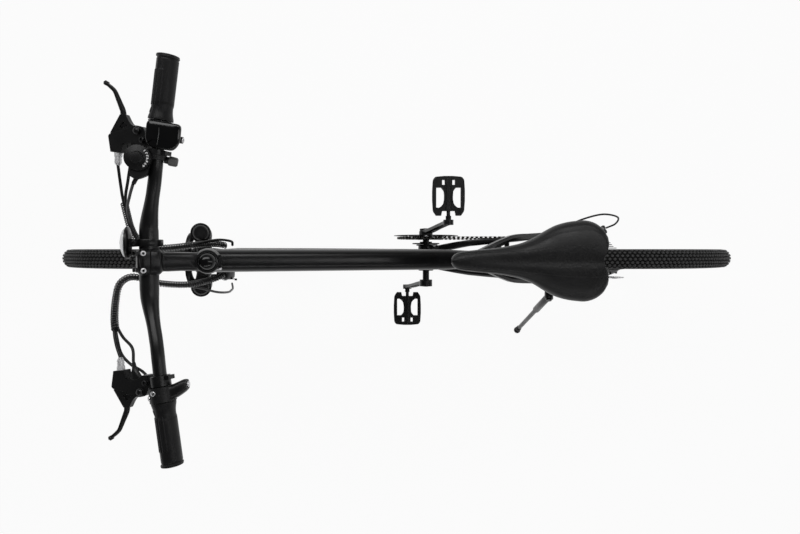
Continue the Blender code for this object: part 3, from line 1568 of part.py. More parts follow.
def build_fork_crown():
    """Steerer, crown and both stanchions in one piece, with a cap on each stanchion."""
    steerer = rod(steer_point(CROWN_H), steer_point(STEM_HIGH - 0.003), STEERER_R, sides=12)
    half = LEG_SPACING / 2
    path = [
        (CROWN_OFFSET, half),
        (0.012, half * 0.52),
        (0.003, 0.0),
        (0.012, -half * 0.52),
        (CROWN_OFFSET, -half),
    ]
    depth = [0.0150, 0.0145, 0.0215, 0.0145, 0.0150]
    tall = CROWN_T / 2
    crown = sweep(
        [steer_point(CROWN_H, forward, y) for forward, y in path],
        [(tall, d) for d in depth],
        power=3.2,
        sides=8,
        across=STEER_UP,
    )
    parts = [crown]
    for side in (-1, 1):
        y = side * half
        parts.append(
            rod(
                steer_point(CROWN_H - tall, CROWN_OFFSET, y),
                steer_point(CROWN_TOP, CROWN_OFFSET, y),
                0.0205,
                sides=10,
            )
        )
        parts.append(
            rod(
                steer_point(SEAL_H - 0.110, CROWN_OFFSET, y),
                steer_point(CROWN_H, CROWN_OFFSET, y),
                STANCHION_R,
                sides=10,
            )
        )
        cap = [
            (0.0, STANCHION_CAP_H),
            (0.0130, STANCHION_CAP_H),
            (0.0160, STANCHION_CAP_H - 0.003),
            (0.0160, -0.004),
            (0.0, -0.004),
        ]
        parts.append(turned(cap, along(steer_point(CROWN_TOP, CROWN_OFFSET, y), STEER_UP), sides=10))
    return joined(steerer, *parts)


def caliper_block(which, grow=0.0):
    """The outer shape of a caliper's casting, grown on every side to make room for it."""
    inner = -CALIPER_IN
    outer = CALIPER_OUT[which]
    size = (0.034 + 2 * grow, 0.046 + 2 * grow, outer - inner + 2 * grow)
    centre = (0.006, 0, (inner + outer) / 2)
    return block(centre, size, bevel=0.004, segments=1, frame=caliper_frame(which))


def fork_leg(side):
    y = side * LEG_SPACING / 2
    heights = (SEAL_H, SEAL_H - 0.006, 0.300, 0.050, 0.020)
    radii = (0.0185, 0.0207, LOWER_R, 0.0165, 0.0130)
    profile = [(0.0, heights[0])]
    profile += list(zip(radii, heights))
    profile.append((0.0, heights[-1]))
    return turned(profile, along(steer_point(0, CROWN_OFFSET, y), STEER_UP), sides=10)


def fork_dropout(side):
    outline = [
        (0.004, -0.0145),
        (0.014, -0.004),
        (0.011, 0.016),
        (0.000, 0.052),
        (-0.026, 0.052),
        (-0.029, 0.024),
        (-0.013, -0.008),
    ]
    centre = FRONT_AXLE + ACROSS * side * (FRONT_OLD / 2 + 0.005 + GAP)
    return plate(outline, 0.010, basis(centre, STEER_FORWARD, STEER_UP))


def build_fork_lowers():
    """Both lower legs with their arch, dropouts and the brake mount behind the left leg."""
    half = LEG_SPACING / 2
    arch_path = [
        (SEAL_H - 0.0120, 0.030, half * 1.00),
        (SEAL_H + 0.0040, 0.040, half * 0.92),
        (SEAL_H + 0.0135, 0.046, half * 0.62),
        (SEAL_H + 0.0160, 0.048, 0.0),
        (SEAL_H + 0.0135, 0.046, -half * 0.62),
        (SEAL_H + 0.0040, 0.040, -half * 0.92),
        (SEAL_H - 0.0120, 0.030, -half * 1.00),
    ]
    path = [steer_point(h, forward, y) for h, forward, y in arch_path]
    arch = sweep(path, [(0.0075, 0.0085)] * len(path), power=3, sides=6, across=(1, 0, 0.3))
    parts = [arch]
    for side in (-1, 1):
        parts.append(fork_dropout(side))
    mount = block(
        (-0.012, 0.046, half - 0.006), (0.036, 0.034, 0.009), bevel=0.002, segments=1, frame=steering_plane(
            
        )
    )
    legs = joined(fork_leg(1), fork_leg(-1), *parts, mount)
    holes = []
    for side in (-1, 1):
        y = side * half
        low = steer_point(SEAL_H - 0.110 - FORK_TRAVEL - 0.008, CROWN_OFFSET, y)
        holes.append(rod(low, steer_point(SEAL_H + 0.02, CROWN_OFFSET, y), STANCHION_R + GAP, sides=10))
    holes.append(rod(FRONT_AXLE - ACROSS * 0.1, FRONT_AXLE + ACROSS * 0.1, bore(FRONT_AXLE_R, 8), sides=8))
    holes.append(caliper_block("front", GAP))
    return cut(legs, *holes)


def steering_plane():
    """A frame on the steering axis: X is forward of it, Y runs up it and Z points to the left."""
    made = Matrix((STEER_FORWARD, STEER_UP, ACROSS)).transposed().to_4x4()
    made.translation = STEER_FOOT
    return made


def build_front_axle():
    """The solid axle with a nut outside each fork end."""
    out = FRONT_OLD / 2 + 0.010 + 3 * GAP
    parts = []
    for side in (-1, 1):
        a = FRONT_AXLE + ACROSS * side * out
        parts.append(rod(a, a + ACROSS * side * 0.0020, 0.0098, sides=8))
        parts.append(rod(a + ACROSS * side * 0.001, a + ACROSS * side * 0.0085, 0.0080, sides=6))
    length = out + 0.012
    shaft = rod(FRONT_AXLE - ACROSS * length, FRONT_AXLE + ACROSS * length, FRONT_AXLE_R, sides=8)
    return joined(shaft, *parts)


# Stem and handlebar

STEM_MIDDLE = (STEM_LOW + STEM_HIGH) / 2
STEM_OUT = STEER_FORWARD * math.cos(STEM_RISE) + STEER_UP * math.sin(STEM_RISE)
STEM_UP = STEER_UP * math.cos(STEM_RISE) - STEER_FORWARD * math.sin(STEM_RISE)
BAR_CENTRE = steer_point(STEM_MIDDLE) + STEM_OUT * STEM_L
FACE_W = 0.0446
FACE_SPLIT = 0.0010
BAR_END_Y = BAR_W / 2 - 0.0035


def stem_frame():
    """A frame at the middle of the bar: X along the stem, Y to the left and Z up from the stem."""
    made = Matrix((STEM_OUT, ACROSS, STEM_UP)).transposed().to_4x4()
    made.translation = BAR_CENTRE
    return made


def bar_clamp(grow_x=0.0):
    """The block round the bar, whose rear half belongs to the stem and front half to the faceplate."""
    return block((grow_x, 0, 0), (0.0400, FACE_W, 0.0446), bevel=0.0060, segments=1, frame=stem_frame())


def build_stem():
    clamp_profile = [
        (0.0, STEM_HIGH),
        (0.0200, STEM_HIGH),
        (0.0212, STEM_HIGH - 0.003),
        (0.0212, STEM_LOW),
        (0.0, STEM_LOW),
    ]
    clamp = turned(clamp_profile, along(STEER_FOOT, STEER_UP), sides=14)
    back = block((-0.0135, 0, 0), (0.020, 0.024, STEM_CLAMP_H - 0.006))
    moved(back, steering_place(STEM_MIDDLE))
    axis_point = steer_point(STEM_MIDDLE)
    neck = sweep(
        [axis_point.lerp(BAR_CENTRE, t) for t in (0.06, 0.35, 0.70, 0.95)],
        [
            (STEM_W / 2 + 0.002, 0.0195),
            (STEM_W / 2, 0.0170),
            (STEM_W / 2 + 0.001, 0.0170),
            (FACE_W / 2 - 0.004, 0.0195),
        ],
        power=3.6,
        sides=10,
    )
    whole = joined(clamp, back, neck, bar_clamp())
    place = stem_frame()
    front = block((0.05 - FACE_SPLIT, 0, 0), (0.10, 0.10, 0.10), frame=place)
    bar_hole = rod(BAR_CENTRE - ACROSS * 0.05, BAR_CENTRE + ACROSS * 0.05, bore(BAR_CLAMP_R, 12), sides=12)
    steerer_hole = rod(
        steer_point(STEM_LOW - 0.02), steer_point(STEM_HIGH + 0.02), bore(STEERER_R, 12), sides=12
    )
    return cut(whole, front, bar_hole, steerer_hole)


def steering_place(height):
    """A frame on the steering axis: X forward, Y to the left and Z up the axis."""
    made = Matrix((STEER_FORWARD, ACROSS, STEER_UP)).transposed().to_4x4()
    made.translation = steer_point(height)
    return made


def build_stem_faceplate():
    place = stem_frame()
    rear = block((-0.05 + FACE_SPLIT * 0.5, 0, 0), (0.10, 0.10, 0.10), frame=place)
    bar_hole = rod(BAR_CENTRE - ACROSS * 0.05, BAR_CENTRE + ACROSS * 0.05, bore(BAR_CLAMP_R, 12), sides=12)
    bolts = []
    for y in (-0.014, 0.014):
        for z in (-0.0182, 0.0182):
            bolts.append(
                rod(place @ Vector((0.010, y, z)), place @ Vector((0.0228, y, z)), 0.0038, sides=6)
            )
    return joined(cut(bar_clamp(), rear, bar_hole), *bolts)


def build_top_cap():
    profile = [
        (0.0, 0.0150),
        (0.0075, 0.0138),
        (0.0125, 0.0095),
        (0.0144, 0.0026),
        (0.0168, 0.0020),
        (0.0168, 0.0),
        (0.0, 0.0),
    ]
    return turned(profile, along(steer_point(STEM_HIGH + GAP), STEER_UP), sides=14)


def eased(value, start, end):
    t = min(1.0, max(0.0, (value - start) / (end - start)))
    return t * t * (3 - 2 * t)


def bar_point(y):
    """The bar's centre line at the signed distance y from its middle."""
    out = abs(y)
    bend = eased(out, BAR_BEND_START, BAR_BEND_END)
    past = out - BAR_BEND_END
    run = past if past > 0.02 else max(0.0, past + 0.02) ** 2 / 0.08
    drop = BAR_SETBACK * bend + run * math.tan(BAR_SWEEP)
    lift = BAR_RISE * bend + run * math.tan(BAR_UPSWEEP)
    return BAR_CENTRE + Vector((-drop, y, lift))


def build_handlebar():
    stations = (0.0, 0.045, 0.061, 0.077, 0.093, 0.109, 0.125, 0.142, 0.160, 0.185, BAR_END_Y)
    ys = [-y for y in reversed(stations[1:])] + list(stations)
    radii = [BAR_CLAMP_R + (BAR_R - BAR_CLAMP_R) * eased(abs(y), 0.045, 0.115) for y in ys]
    return tube([bar_point(y) for y in ys], BAR_CLAMP_R, resolution=2, radii=radii)


def hand_frame(side, y, drop=0.0):
    """A frame on the bar at y from its middle: X forward and down by the drop, Y outward and Z up."""
    origin = bar_point(side * y)
    outward = (bar_point(side * (y + 0.002)) - bar_point(side * (y - 0.002))).normalized()
    ahead = Vector((math.cos(drop), 0, -math.sin(drop)))
    ahead = (ahead - outward * ahead.dot(outward)).normalized()
    up = ahead.cross(outward) * side
    made = Matrix((ahead, outward, up)).transposed().to_4x4()
    made.translation = origin
    return made


def collar(place, start, end, radius, sides=12):
    """A solid ring's outer body along the bar, from start to end."""
    return rod(place @ Vector((0, start, 0)), place @ Vector((0, end, 0)), radius, sides=sides)


def bar_hole(place, start, end, radius=BAR_R):
    return rod(place @ Vector((0, start, 0)), place @ Vector((0, end, 0)), bore(radius, 10), sides=10)


GRIP_START = 0.2345
GRIP_END = GRIP_START + GRIP_L


def build_grip(side):
    """A moulded grip with a closed end; the right one is the twist throttle."""
    place = hand_frame(side, (GRIP_START + GRIP_END) / 2)
    half = GRIP_L / 2 / math.cos(BAR_SWEEP)
    profile = [
        (0.0, half),
        (GRIP_R, half),
        (GRIP_R + 0.0016, half - 0.0015),
        (GRIP_R, half - 0.0045),
        (GRIP_R, -half + 0.0055),
        (GRIP_R + 0.0022, -half + 0.0045),
        (GRIP_R + 0.0022, -half),
        (0.0, -half),
    ]
    axis = place.col[1].to_3d()
    body = turned(profile, along(place.translation, axis), sides=12)
    inner_end = (BAR_END_Y - (GRIP_START + GRIP_END) / 2) / math.cos(BAR_SWEEP) + 0.0008
    return cut(body, bar_hole(place, -half - 0.01, inner_end))


def grip_axis(side):
    return hand_frame(side, (GRIP_START + GRIP_END) / 2).col[1].to_3d()


def build_throttle_housing():
    """The box inside the twist grip, with its seam left to the finish."""
    place = hand_frame(-1, 0.2110)
    inner = -0.0232
    outer = 0.0226
    outline = rounded(
        [
            (-0.0300, inner),
            (0.0060, inner),
            (0.0152, inner + 0.012),
            (0.0152, outer - 0.0015),
            (-0.0360, outer - 0.0015),
            (-0.0375, inner + 0.016),
        ],
        0.006,
        1,
    )
    body = plate(outline, 0.0375, place)
    lip = collar(place, outer - 0.003, outer, 0.0192)
    screw = rod(
        place @ Vector((-0.034, -0.003, 0.004)), place @ Vector((-0.0415, -0.003, 0.004)), 0.0042, sides=8
    )
    return cut(joined(body, lip, screw), bar_hole(place, -0.04, 0.04))


# Brake levers, in a plane that drops in front of the bar.
# Points are (outward from the pivot, forward of the bar).

LEVER_PIVOT_Y = 0.2125
LEVER_PIVOT_X = 0.0385
BRACKET_OUTLINE = [
    (-0.0260, 0.0205),
    (-0.0085, 0.0200),
    (0.0060, 0.0270),
    (0.0085, 0.0385),
    (0.0065, 0.0500),
    (0.0020, 0.0575),
    (-0.0110, 0.0955),
    (-0.0150, 0.0985),
    (-0.0410, 0.0900),
    (-0.0400, 0.0680),
    (-0.0240, 0.0660),
    (-0.0215, 0.0420),
    (-0.0270, 0.0300),
]
LEVER_ROOT = [
    (-0.0055, 0.0345),
    (0.0055, 0.0345),
    (0.0072, 0.0500),
    (0.0115, 0.0590),
    (0.0245, 0.0700),
    (0.0232, 0.0822),
    (-0.0090, 0.0985),
    (-0.0105, 0.0940),
    (-0.0060, 0.0700),
]
LEVER_WINDOW = [(0.0030, 0.0800), (0.0125, 0.0735), (0.0060, 0.0640), (0.0005, 0.0735)]
LEVER_BLADE = [
    (0.018, 0.0765),
    (0.030, 0.0800),
    (0.042, 0.0880),
    (0.0515, 0.0945),
    (0.0610, 0.1015),
    (0.0668, 0.1100),
    (0.0725, 0.1205),
]


def lever_frame(side):
    """X forward in the lever's plane, Y outward from the pivot and Z up from the plane."""
    return hand_frame(side, LEVER_PIVOT_Y, LEVER_DROP)


def lever_point(side, out, ahead, up=0.0):
    return lever_frame(side) @ Vector((ahead, out, up))


def lever_plate(side, outline, thickness, up=0.0, holes=()):
    place = lever_frame(side) @ Matrix.Translation((0, 0, up))
    swap = [[(ahead, out) for out, ahead in points] for points in (outline, *holes)]
    return plate(swap[0], thickness, place, swap[1:])


def build_brake_bracket(side):
    """The clamp, the slotted body for the lever, the cable's adjuster and the switch's cable boot."""
    place = lever_frame(side)
    low, high = (0.1788, 0.1869) if side < 0 else (0.1905, 0.2077)
    band = [(y - LEVER_PIVOT_Y) / math.cos(BAR_SWEEP) for y in (low, high)]
    ring = collar(place, band[0], band[1], 0.0165)
    root = block(
        (0.0190, (band[0] + band[1]) / 2, -0.0010), (0.0200, band[1] - band[0], 0.0150), frame=place
    )
    tail = block((-0.0175, band[0] + 0.0042, 0), (0.0110, 0.0070, 0.0150), frame=place)
    body = lever_plate(side, BRACKET_OUTLINE, 0.0160, -0.0012)
    slot = block((0.0680, 0.0040, -0.0010), (0.0760, 0.0400, 0.0096), frame=place)
    pin = rod(
        lever_point(side, 0, LEVER_PIVOT_X, -0.0095),
        lever_point(side, 0, LEVER_PIVOT_X, 0.0080),
        0.0030,
        sides=6,
    )
    head = rod(
        lever_point(side, 0, LEVER_PIVOT_X, 0.0065),
        lever_point(side, 0, LEVER_PIVOT_X, 0.0105),
        0.0070,
        0.0052,
        sides=8,
    )
    bolt = rod(
        lever_point(side, -0.0140, 0.0250, 0.0060),
        lever_point(side, -0.0140, 0.0250, 0.0095),
        0.0052,
        sides=6,
    )
    barrel = rod(
        lever_point(side, -0.0400, 0.0795), lever_point(side, -0.0605, 0.0775), 0.0050, 0.0042, sides=6
    )
    boot = loft(
        [
            [lever_point(side, -0.0200, 0.0500 + x, z) for x, z in section(0.0130, 0.0060, 4, 6)],
            [lever_point(side, -0.0400, 0.0505 + x, z) for x, z in section(0.0045, 0.0042, 2, 6)],
            [lever_point(side, -0.0500, 0.0510 + x, z) for x, z in section(0.0032, 0.0032, 2, 6)],
        ]
    )
    whole = joined(cut(body, slot), ring, root, tail, pin, head, bolt, barrel, boot)
    return cut(whole, bar_hole(place, band[0] - 0.01, band[1] + 0.01))


def build_brake_lever(side):
    root = lever_plate(side, LEVER_ROOT, 0.0086, -0.0010, [LEVER_WINDOW])
    path = [lever_point(side, out, ahead, -0.001) for out, ahead in LEVER_BLADE]
    halves = spread(
        [(0.0042, 0.0058), (0.0038, 0.0052), (0.0036, 0.0042), (0.0034, 0.0036), (0.0034, 0.0034)],
        len(path),
    )
    blade = sweep(path, halves, power=2.6, sides=6, across=lever_frame(side).col[2].to_3d())
    tip = ball(lever_point(side, 0.0730, 0.1215, -0.001), 0.0052, sides=6)
    hole = rod(
        lever_point(side, 0, LEVER_PIVOT_X, -0.02),
        lever_point(side, 0, LEVER_PIVOT_X, 0.02),
        bore(0.0030, 6),
        sides=6,
    )
    boss = rod(
        lever_point(side, 0, LEVER_PIVOT_X, -0.0053),
        lever_point(side, 0, LEVER_PIVOT_X, 0.0033),
        0.0062,
        sides=8,
    )
    return cut(joined(root, boss, blade, tip), hole)


# Gear selector, light switch and lamp

SHIFTER_TILT = math.radians(-10.0)
DIAL_X = 0.0245
DIAL_OUT = -0.0050
DIAL_LOW = 0.0185


def shifter_frame():
    return hand_frame(-1, SHIFTER_BAND_Y, SHIFTER_TILT)


SHIFTER_BAND_Y = 0.1742


def build_shifter_body():
    """The band on the bar, the base under the dial and the nose where its cable leaves."""
    place = shifter_frame()
    band = collar(place, -0.0040, 0.0040, 0.0160)
    ear = rod(
        place @ Vector((-0.0120, -0.0020, -0.002)),
        place @ Vector((-0.0285, -0.0036, -0.004)),
        0.0058,
        0.0068,
        sides=8,
    )
    outline = [
        (DIAL_X + 0.0220 * math.cos(a), DIAL_OUT + 0.0220 * math.sin(a)) for a in (
            math.radians(d) for d in range(-60, 211, 30)
        )
    ]
    outline += [(0.0085, -0.0320), (0.0250, -0.0400), (0.0345, -0.0360)]
    base = plate(outline, 0.0150, place @ Matrix.Translation((0, 0, DIAL_LOW - GAP - 0.0075)))
    saddle = block((0.0130, 0, 0.0080), (0.0200, 0.0078, 0.0120), bevel=0.001, segments=1, frame=place)
    nose = rod(
        place @ Vector((0.0240, -0.0340, 0.0090)),
        place @ Vector((0.0305, -0.0475, 0.0080)),
        0.0048,
        0.0038,
        sides=6,
    )
    trim = block((-0.0090, -0.010, 0.0110), (0.0200, 0.0500, 0.0300), frame=place)
    clamp_room = block((0.0100, 0.0190, 0.0100), (0.0390, 0.0300, 0.0320), frame=place)
    bar_room = collar(place, -0.060, 0.060, 0.0118)
    whole = joined(cut(base, trim, clamp_room, bar_room), band, saddle, ear, nose)
    post = rod(
        place @ Vector((DIAL_X, DIAL_OUT, DIAL_LOW - 0.004)),
        place @ Vector((DIAL_X, DIAL_OUT, DIAL_LOW + 0.0050)),
        0.0040,
        sides=6,
    )
    return joined(cut(whole, bar_hole(place, -0.02, 0.02)), post)


def build_shift_dial():
    """The turning dial with its raised thumb knob."""
    place = shifter_frame() @ Matrix.Translation((DIAL_X, DIAL_OUT, DIAL_LOW))
    profile = [
        (0.0, 0.0115),
        (0.0090, 0.0115),
        (0.0107, 0.0060),
        (SHIFT_DIAL_R, 0.0034),
        (SHIFT_DIAL_R, 0.0),
        (0.0, 0.0),
    ]
    body = turned(profile, along(place.translation, shifter_up()), sides=16)
    start = place @ Vector((0, 0, -0.002))
    return cut(body, rod(start, place @ Vector((0, 0, 0.0053)), bore(0.0040, 6), sides=6))


def shifter_up():
    return shifter_frame().col[2].to_3d()


def switch_frame():
    return hand_frame(1, 0.2210)


BUTTON_X = -0.0440


def build_switch_pod():
    """The pod inside the left grip, with a lobe behind the bar for its push button."""
    place = switch_frame()
    ring = collar(place, -0.0125, 0.0125, 0.0215, sides=12)
    lobe = loft(
        [
            [place @ Vector((-0.0100, 0.000 + y, z)) for y, z in section(0.0124, 0.0150, 3.5, 8)],
            [place @ Vector((-0.0250, -0.003 + y, z)) for y, z in section(0.0122, 0.0130, 3.5, 8)],
            [place @ Vector((-0.0380, -0.008 + y, z)) for y, z in section(0.0110, 0.0110, 3, 8)],
            [place @ Vector((BUTTON_X, -0.010 + y, z)) for y, z in section(0.0085, 0.0088, 2.5, 8)],
        ]
    )
    pocket = rod(
        place @ Vector((BUTTON_X + 0.0060, -0.010, 0)),
        place @ Vector((BUTTON_X - 0.01, -0.010, 0)),
        bore(0.0052, 8),
        sides=8,
    )
    return cut(joined(ring, lobe), pocket, bar_hole(place, -0.03, 0.03))


def build_horn_button():
    place = switch_frame()
    start = place @ Vector((BUTTON_X + 0.0030, -0.010, 0))
    middle = place @ Vector((BUTTON_X - 0.0015, -0.010, 0))
    end = place @ Vector((BUTTON_X - 0.0028, -0.010, 0))
    return joined(rod(start, middle, 0.0052, sides=8), rod(start, end, 0.0044, 0.0040, sides=8))


LAMP_X = 0.0200


def lamp_place():
    return Vector((BAR_CENTRE.x, LAMP_Y, BAR_CENTRE.z))


def build_headlight():
    """A round cup in front of the bar on a band beside the stem."""
    centre = lamp_place()
    cup = [
        (0.0, LAMP_X - 0.004),
        (0.0090, LAMP_X - 0.004),
        (0.0095, 0.0312),
        (0.0190, 0.0325),
        (LAMP_R, 0.0400),
        (LAMP_R, 0.0565),
        (0.0245, 0.0572),
        (0.0245, 0.0540),
        (0.0, 0.0540),
    ]
    body = turned(cup[::-1], along(centre, (1, 0, 0)), sides=16)
    band = rod(centre - ACROSS * 0.0058, centre + ACROSS * 0.0058, 0.0190, sides=12)
    lug = block(centre + Vector((-0.006, 0, 0.0205)), (0.014, 0.0110, 0.010))
    hole = rod(centre - ACROSS * 0.02, centre + ACROSS * 0.02, bore(BAR_CLAMP_R, 12), sides=12)
    return cut(joined(body, band, lug), hole)


def build_headlight_lens():
    rim = 0.0245 - GAP
    profile = [(0.0, 0.0585), (rim * 0.7, 0.0575), (rim, 0.0552), (rim, 0.0540 + GAP), (0.0, 0.0540 + GAP)]
    return turned(profile, along(lamp_place(), (1, 0, 0)), sides=16)


# Cables

WRAP_R = 0.0058
CABLE_R = 0.0025


def build_cables_left():
    """The wrapped bundle, the brake cable and the two switch cables from the left controls."""
    barrel = lever_point(1, -0.0612, 0.0774)
    boot = lever_point(1, -0.0507, 0.0510)
    main = [
        (0.4660, 0.1250, 1.0080),
        (0.4870, 0.1020, 0.9900),
        (0.4960, 0.0680, 0.9700),
        (0.4960, 0.0420, 0.9550),
        (0.4860, 0.0300, 0.9350),
        (0.4700, 0.0340, 0.9150),
        (0.4450, 0.0440, 0.8950),
        (0.4050, 0.0480, 0.8550),
        (0.3700, 0.0385, 0.8120),
        (0.3560, 0.0300, 0.7960),
    ]
    brake = [barrel, (0.4655, 0.1420, 1.0170), (0.4660, 0.1250, 1.0080), (0.4700, 0.1200, 1.0050)]
    switch = [boot, (0.4420, 0.1400, 1.0220), (0.4580, 0.1240, 1.0090), (0.4700, 0.1190, 1.0040)]
    tail = [
        (0.4700, 0.0340, 0.9150),
        (0.4600, 0.0560, 0.8800),
        (0.4360, 0.0830, 0.8200),
        (0.4180, 0.0870, 0.7600),
        (0.4080, 0.0840, 0.6800),
        (0.4090, 0.0815, 0.5900),
        (0.4300, 0.0800, 0.4900),
        (0.4480, 0.0690, 0.4250),
    ]
    parts = [tube(route, CABLE_R, 0) for route in (brake, switch, tail)]
    return joined(tube(main, WRAP_R, 1), *parts)


def build_cables_right():
    """The wrapped bundle with the brake, throttle and gear cables from the right controls."""
    barrel = lever_point(-1, -0.0614, 0.0774)
    boot = lever_point(-1, -0.0509, 0.0510)
    nose = shifter_frame() @ Vector((0.0312, -0.0488, 0.0080))
    main = [
        (0.4640, -0.1120, 1.0030),
        (0.4700, -0.0860, 0.9820),
        (0.4760, -0.0600, 0.9600),
        (0.4720, -0.0400, 0.9380),
        (0.4550, -0.0280, 0.9180),
        (0.4280, -0.0300, 0.8950),
        (0.3850, -0.0380, 0.8500),
        (0.3620, -0.0360, 0.8150),
        (0.3500, -0.0300, 0.7990),
    ]
    brake = [barrel, (0.4630, -0.1350, 1.0140), (0.4650, -0.1120, 1.0030), (0.4665, -0.1040, 0.9970)]
    switch = [boot, (0.4480, -0.1400, 1.0180), (0.4600, -0.1160, 1.0030), (0.4670, -0.1020, 0.9960)]
    gear = [nose, (0.4380, -0.1120, 1.0380), (0.4560, -0.0990, 1.0080), (0.4690, -0.0860, 0.9830)]
    loop = [
        (0.4280, -0.0300, 0.8950),
        (0.3900, -0.0420, 0.8850),
        (0.3500, -0.0470, 0.8800),
        (0.3260, -0.0440, 0.8500),
        (0.3300, -0.0330, 0.8180),
    ]
    parts = [tube(route, CABLE_R, 0) for route in (brake, switch, gear, loop)]
    return joined(tube(main, WRAP_R, 1), *parts)


def build_shift_cable_rear():
    """The gear cable's last loop, from the right seat stay to the derailleur."""
    route = [
        (-0.4150, -0.0706, 0.4780),
        (-0.4480, -0.0840, 0.4620),
        (-0.4960, -0.1040, 0.4480),
        (-0.5560, -0.1180, 0.4250),
        (-0.6060, -0.1120, 0.3950),
        (-0.6130, -0.0960, 0.3580),
        (-0.5960, -0.0850, 0.3300),
    ]
    return tube(route, CABLE_R, 0)


# Assembly


def main():
    clear_scene()
    collection(COLLECTION)
    helpers = collection(HELPERS)
    stance = bpy.data.objects.new("stance", None)
    bpy.data.collections[COLLECTION].objects.link(stance)
    stance.rotation_euler = (-LEAN, 0.0, 0.0)
    stance.location = (0.0, STANCE_Y, TREAD_FLAT * math.sin(LEAN))
    steer = steer_point(HEAD_HIGH)
    pieces = [
        ("frame", build_frame(), "gloss_black", (0, 0, 0)),
        ("battery_pack", build_battery(), "satin_black", BB),
        ("bottom_bracket", build_bottom_bracket(), "dark_steel", BB),
        ("rear_axle", build_rear_axle(), "steel", REAR_AXLE),
        ("seat_clamp", build_seat_clamp(), "anodised_black", QR_CENTRE),
        ("seat_clamp_lever", build_seat_lever(), "anodised_black", seat_lever_pivot()),
        ("seatpost", build_seatpost(), "anodised_black", SEAT_TOP),
        ("saddle_rails", build_saddle_rails(), "dark_steel", SEAT_TOP),
        ("saddle", build_saddle(), "saddle_vinyl", SEAT_TOP),
        ("kickstand_bracket", build_kickstand_bracket(), "satin_black", KICK_PIVOT),
        ("kickstand_leg", build_kickstand_leg(), "satin_black", KICK_PIVOT),
        ("hub_motor", build_hub_motor(), "satin_black", REAR_AXLE),
        ("rear_rim", build_rim(REAR_AXLE), "satin_black", REAR_AXLE),
        ("rear_tyre", build_tyre(REAR_AXLE), "tyre_rubber", REAR_AXLE),
        ("rear_rotor", build_rotor(REAR_AXLE, REAR_ROTOR_Y), "steel", REAR_AXLE),
        ("freewheel", build_freewheel(), "dark_steel", REAR_AXLE),
        ("rear_caliper", build_caliper("rear"), "anodised_black", REAR_AXLE),
        ("rear_caliper_arm", build_caliper_arm("rear"), "dark_steel", caliper_pivot("rear")),
        ("derailleur_body", build_derailleur_body(), "anodised_black", LINK_START),
        ("derailleur_link", build_derailleur_link(), "dark_steel", LINK_START),
        ("derailleur_knuckle", build_derailleur_knuckle(), "anodised_black", LINK_END),
        ("derailleur_cage", build_derailleur_cage(), "dark_steel", GUIDE_PULLEY),
        ("guide_pulley", build_pulley(GUIDE_PULLEY, 2), "moulded_black", GUIDE_PULLEY),
        ("tension_pulley", build_pulley(TENSION_PULLEY, 3), "moulded_black", TENSION_PULLEY),
        ("shift_cable_rear", build_shift_cable_rear(), "moulded_black", REAR_AXLE),
        ("chain", build_chain(), "dark_steel", BB),
        ("chainring", build_chainring(), "satin_black", BB),
        ("crank_right", build_crank_right(), "anodised_black", BB),
        ("crank_left", build_crank_left(), "anodised_black", BB),
        ("pas_magnet_disc", build_magnet_disc(), "moulded_black", BB),
        ("pedal_right", build_pedal(-1), "moulded_black", crank_end(-1)),
        ("pedal_left", build_pedal(1), "moulded_black", crank_end(1)),
        ("fork_crown_unit", build_fork_crown(), "satin_black", steer),
        ("stem", build_stem(), "anodised_black", steer),
        ("stem_faceplate", build_stem_faceplate(), "anodised_black", steer),
        ("top_cap", build_top_cap(), "gloss_black", steer),
        ("handlebar", build_handlebar(), "satin_black", steer),
        ("grip_left", build_grip(1), "grip_rubber", steer),
        ("throttle_grip", build_grip(-1), "grip_rubber", bar_point(-(GRIP_START + GRIP_END) / 2)),
        ("throttle_housing", build_throttle_housing(), "gloss_black", steer),
        ("brake_bracket_left", build_brake_bracket(1), "satin_black", steer),
        ("brake_bracket_right", build_brake_bracket(-1), "satin_black", steer),
        ("brake_lever_left", build_brake_lever(1), "satin_black", lever_point(1, 0, LEVER_PIVOT_X)),
        ("brake_lever_right", build_brake_lever(-1), "satin_black", lever_point(-1, 0, LEVER_PIVOT_X)),
        ("shifter_body", build_shifter_body(), "moulded_black", steer),
        (
            "shift_dial",
            build_shift_dial(),
            "moulded_black",
            shifter_frame() @ Vector((DIAL_X, DIAL_OUT, DIAL_LOW)),
        ),
        ("switch_pod", build_switch_pod(), "moulded_black", steer),
        ("horn_button", build_horn_button(), "steel", switch_frame() @ Vector((BUTTON_X, -0.010, 0))),
        ("headlight_body", build_headlight(), "gloss_black", steer),
        ("headlight_lens", build_headlight_lens(), "lamp_lens", steer),
        ("cable_bundle_left", build_cables_left(), "moulded_black", steer),
        ("cable_bundle_right", build_cables_right(), "moulded_black", steer),
        ("fork_lowers", build_fork_lowers(), "satin_black", steer_point(0, CROWN_OFFSET)),
        ("front_axle", build_front_axle(), "steel", FRONT_AXLE),
        ("front_caliper", build_caliper("front"), "anodised_black", FRONT_AXLE),
        ("front_caliper_arm", build_caliper_arm("front"), "dark_steel", caliper_pivot("front")),
        ("front_hub", build_front_hub(), "satin_black", FRONT_AXLE),
        ("front_rim", build_rim(FRONT_AXLE), "satin_black", FRONT_AXLE),
        ("front_tyre", build_tyre(FRONT_AXLE), "tyre_rubber", FRONT_AXLE),
        ("front_rotor", build_rotor(FRONT_AXLE, FRONT_ROTOR_Y), "steel", FRONT_AXLE),
    ]
    for name, obj, finish, pivot in pieces:
        node(name, obj, finish, stance, pivot)
    bpy.data.collections.remove(helpers)


main()
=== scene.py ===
"""Looks for the electric bicycle: finishes, tyres, saddle, grips, cables, chain and small fittings.

Metres, +X to the front, +Y to the rider's left, +Z up. New pieces are modelled in the bicycle's own upright
frame and then leaned with it onto the kickstand.
"""

import json
import math

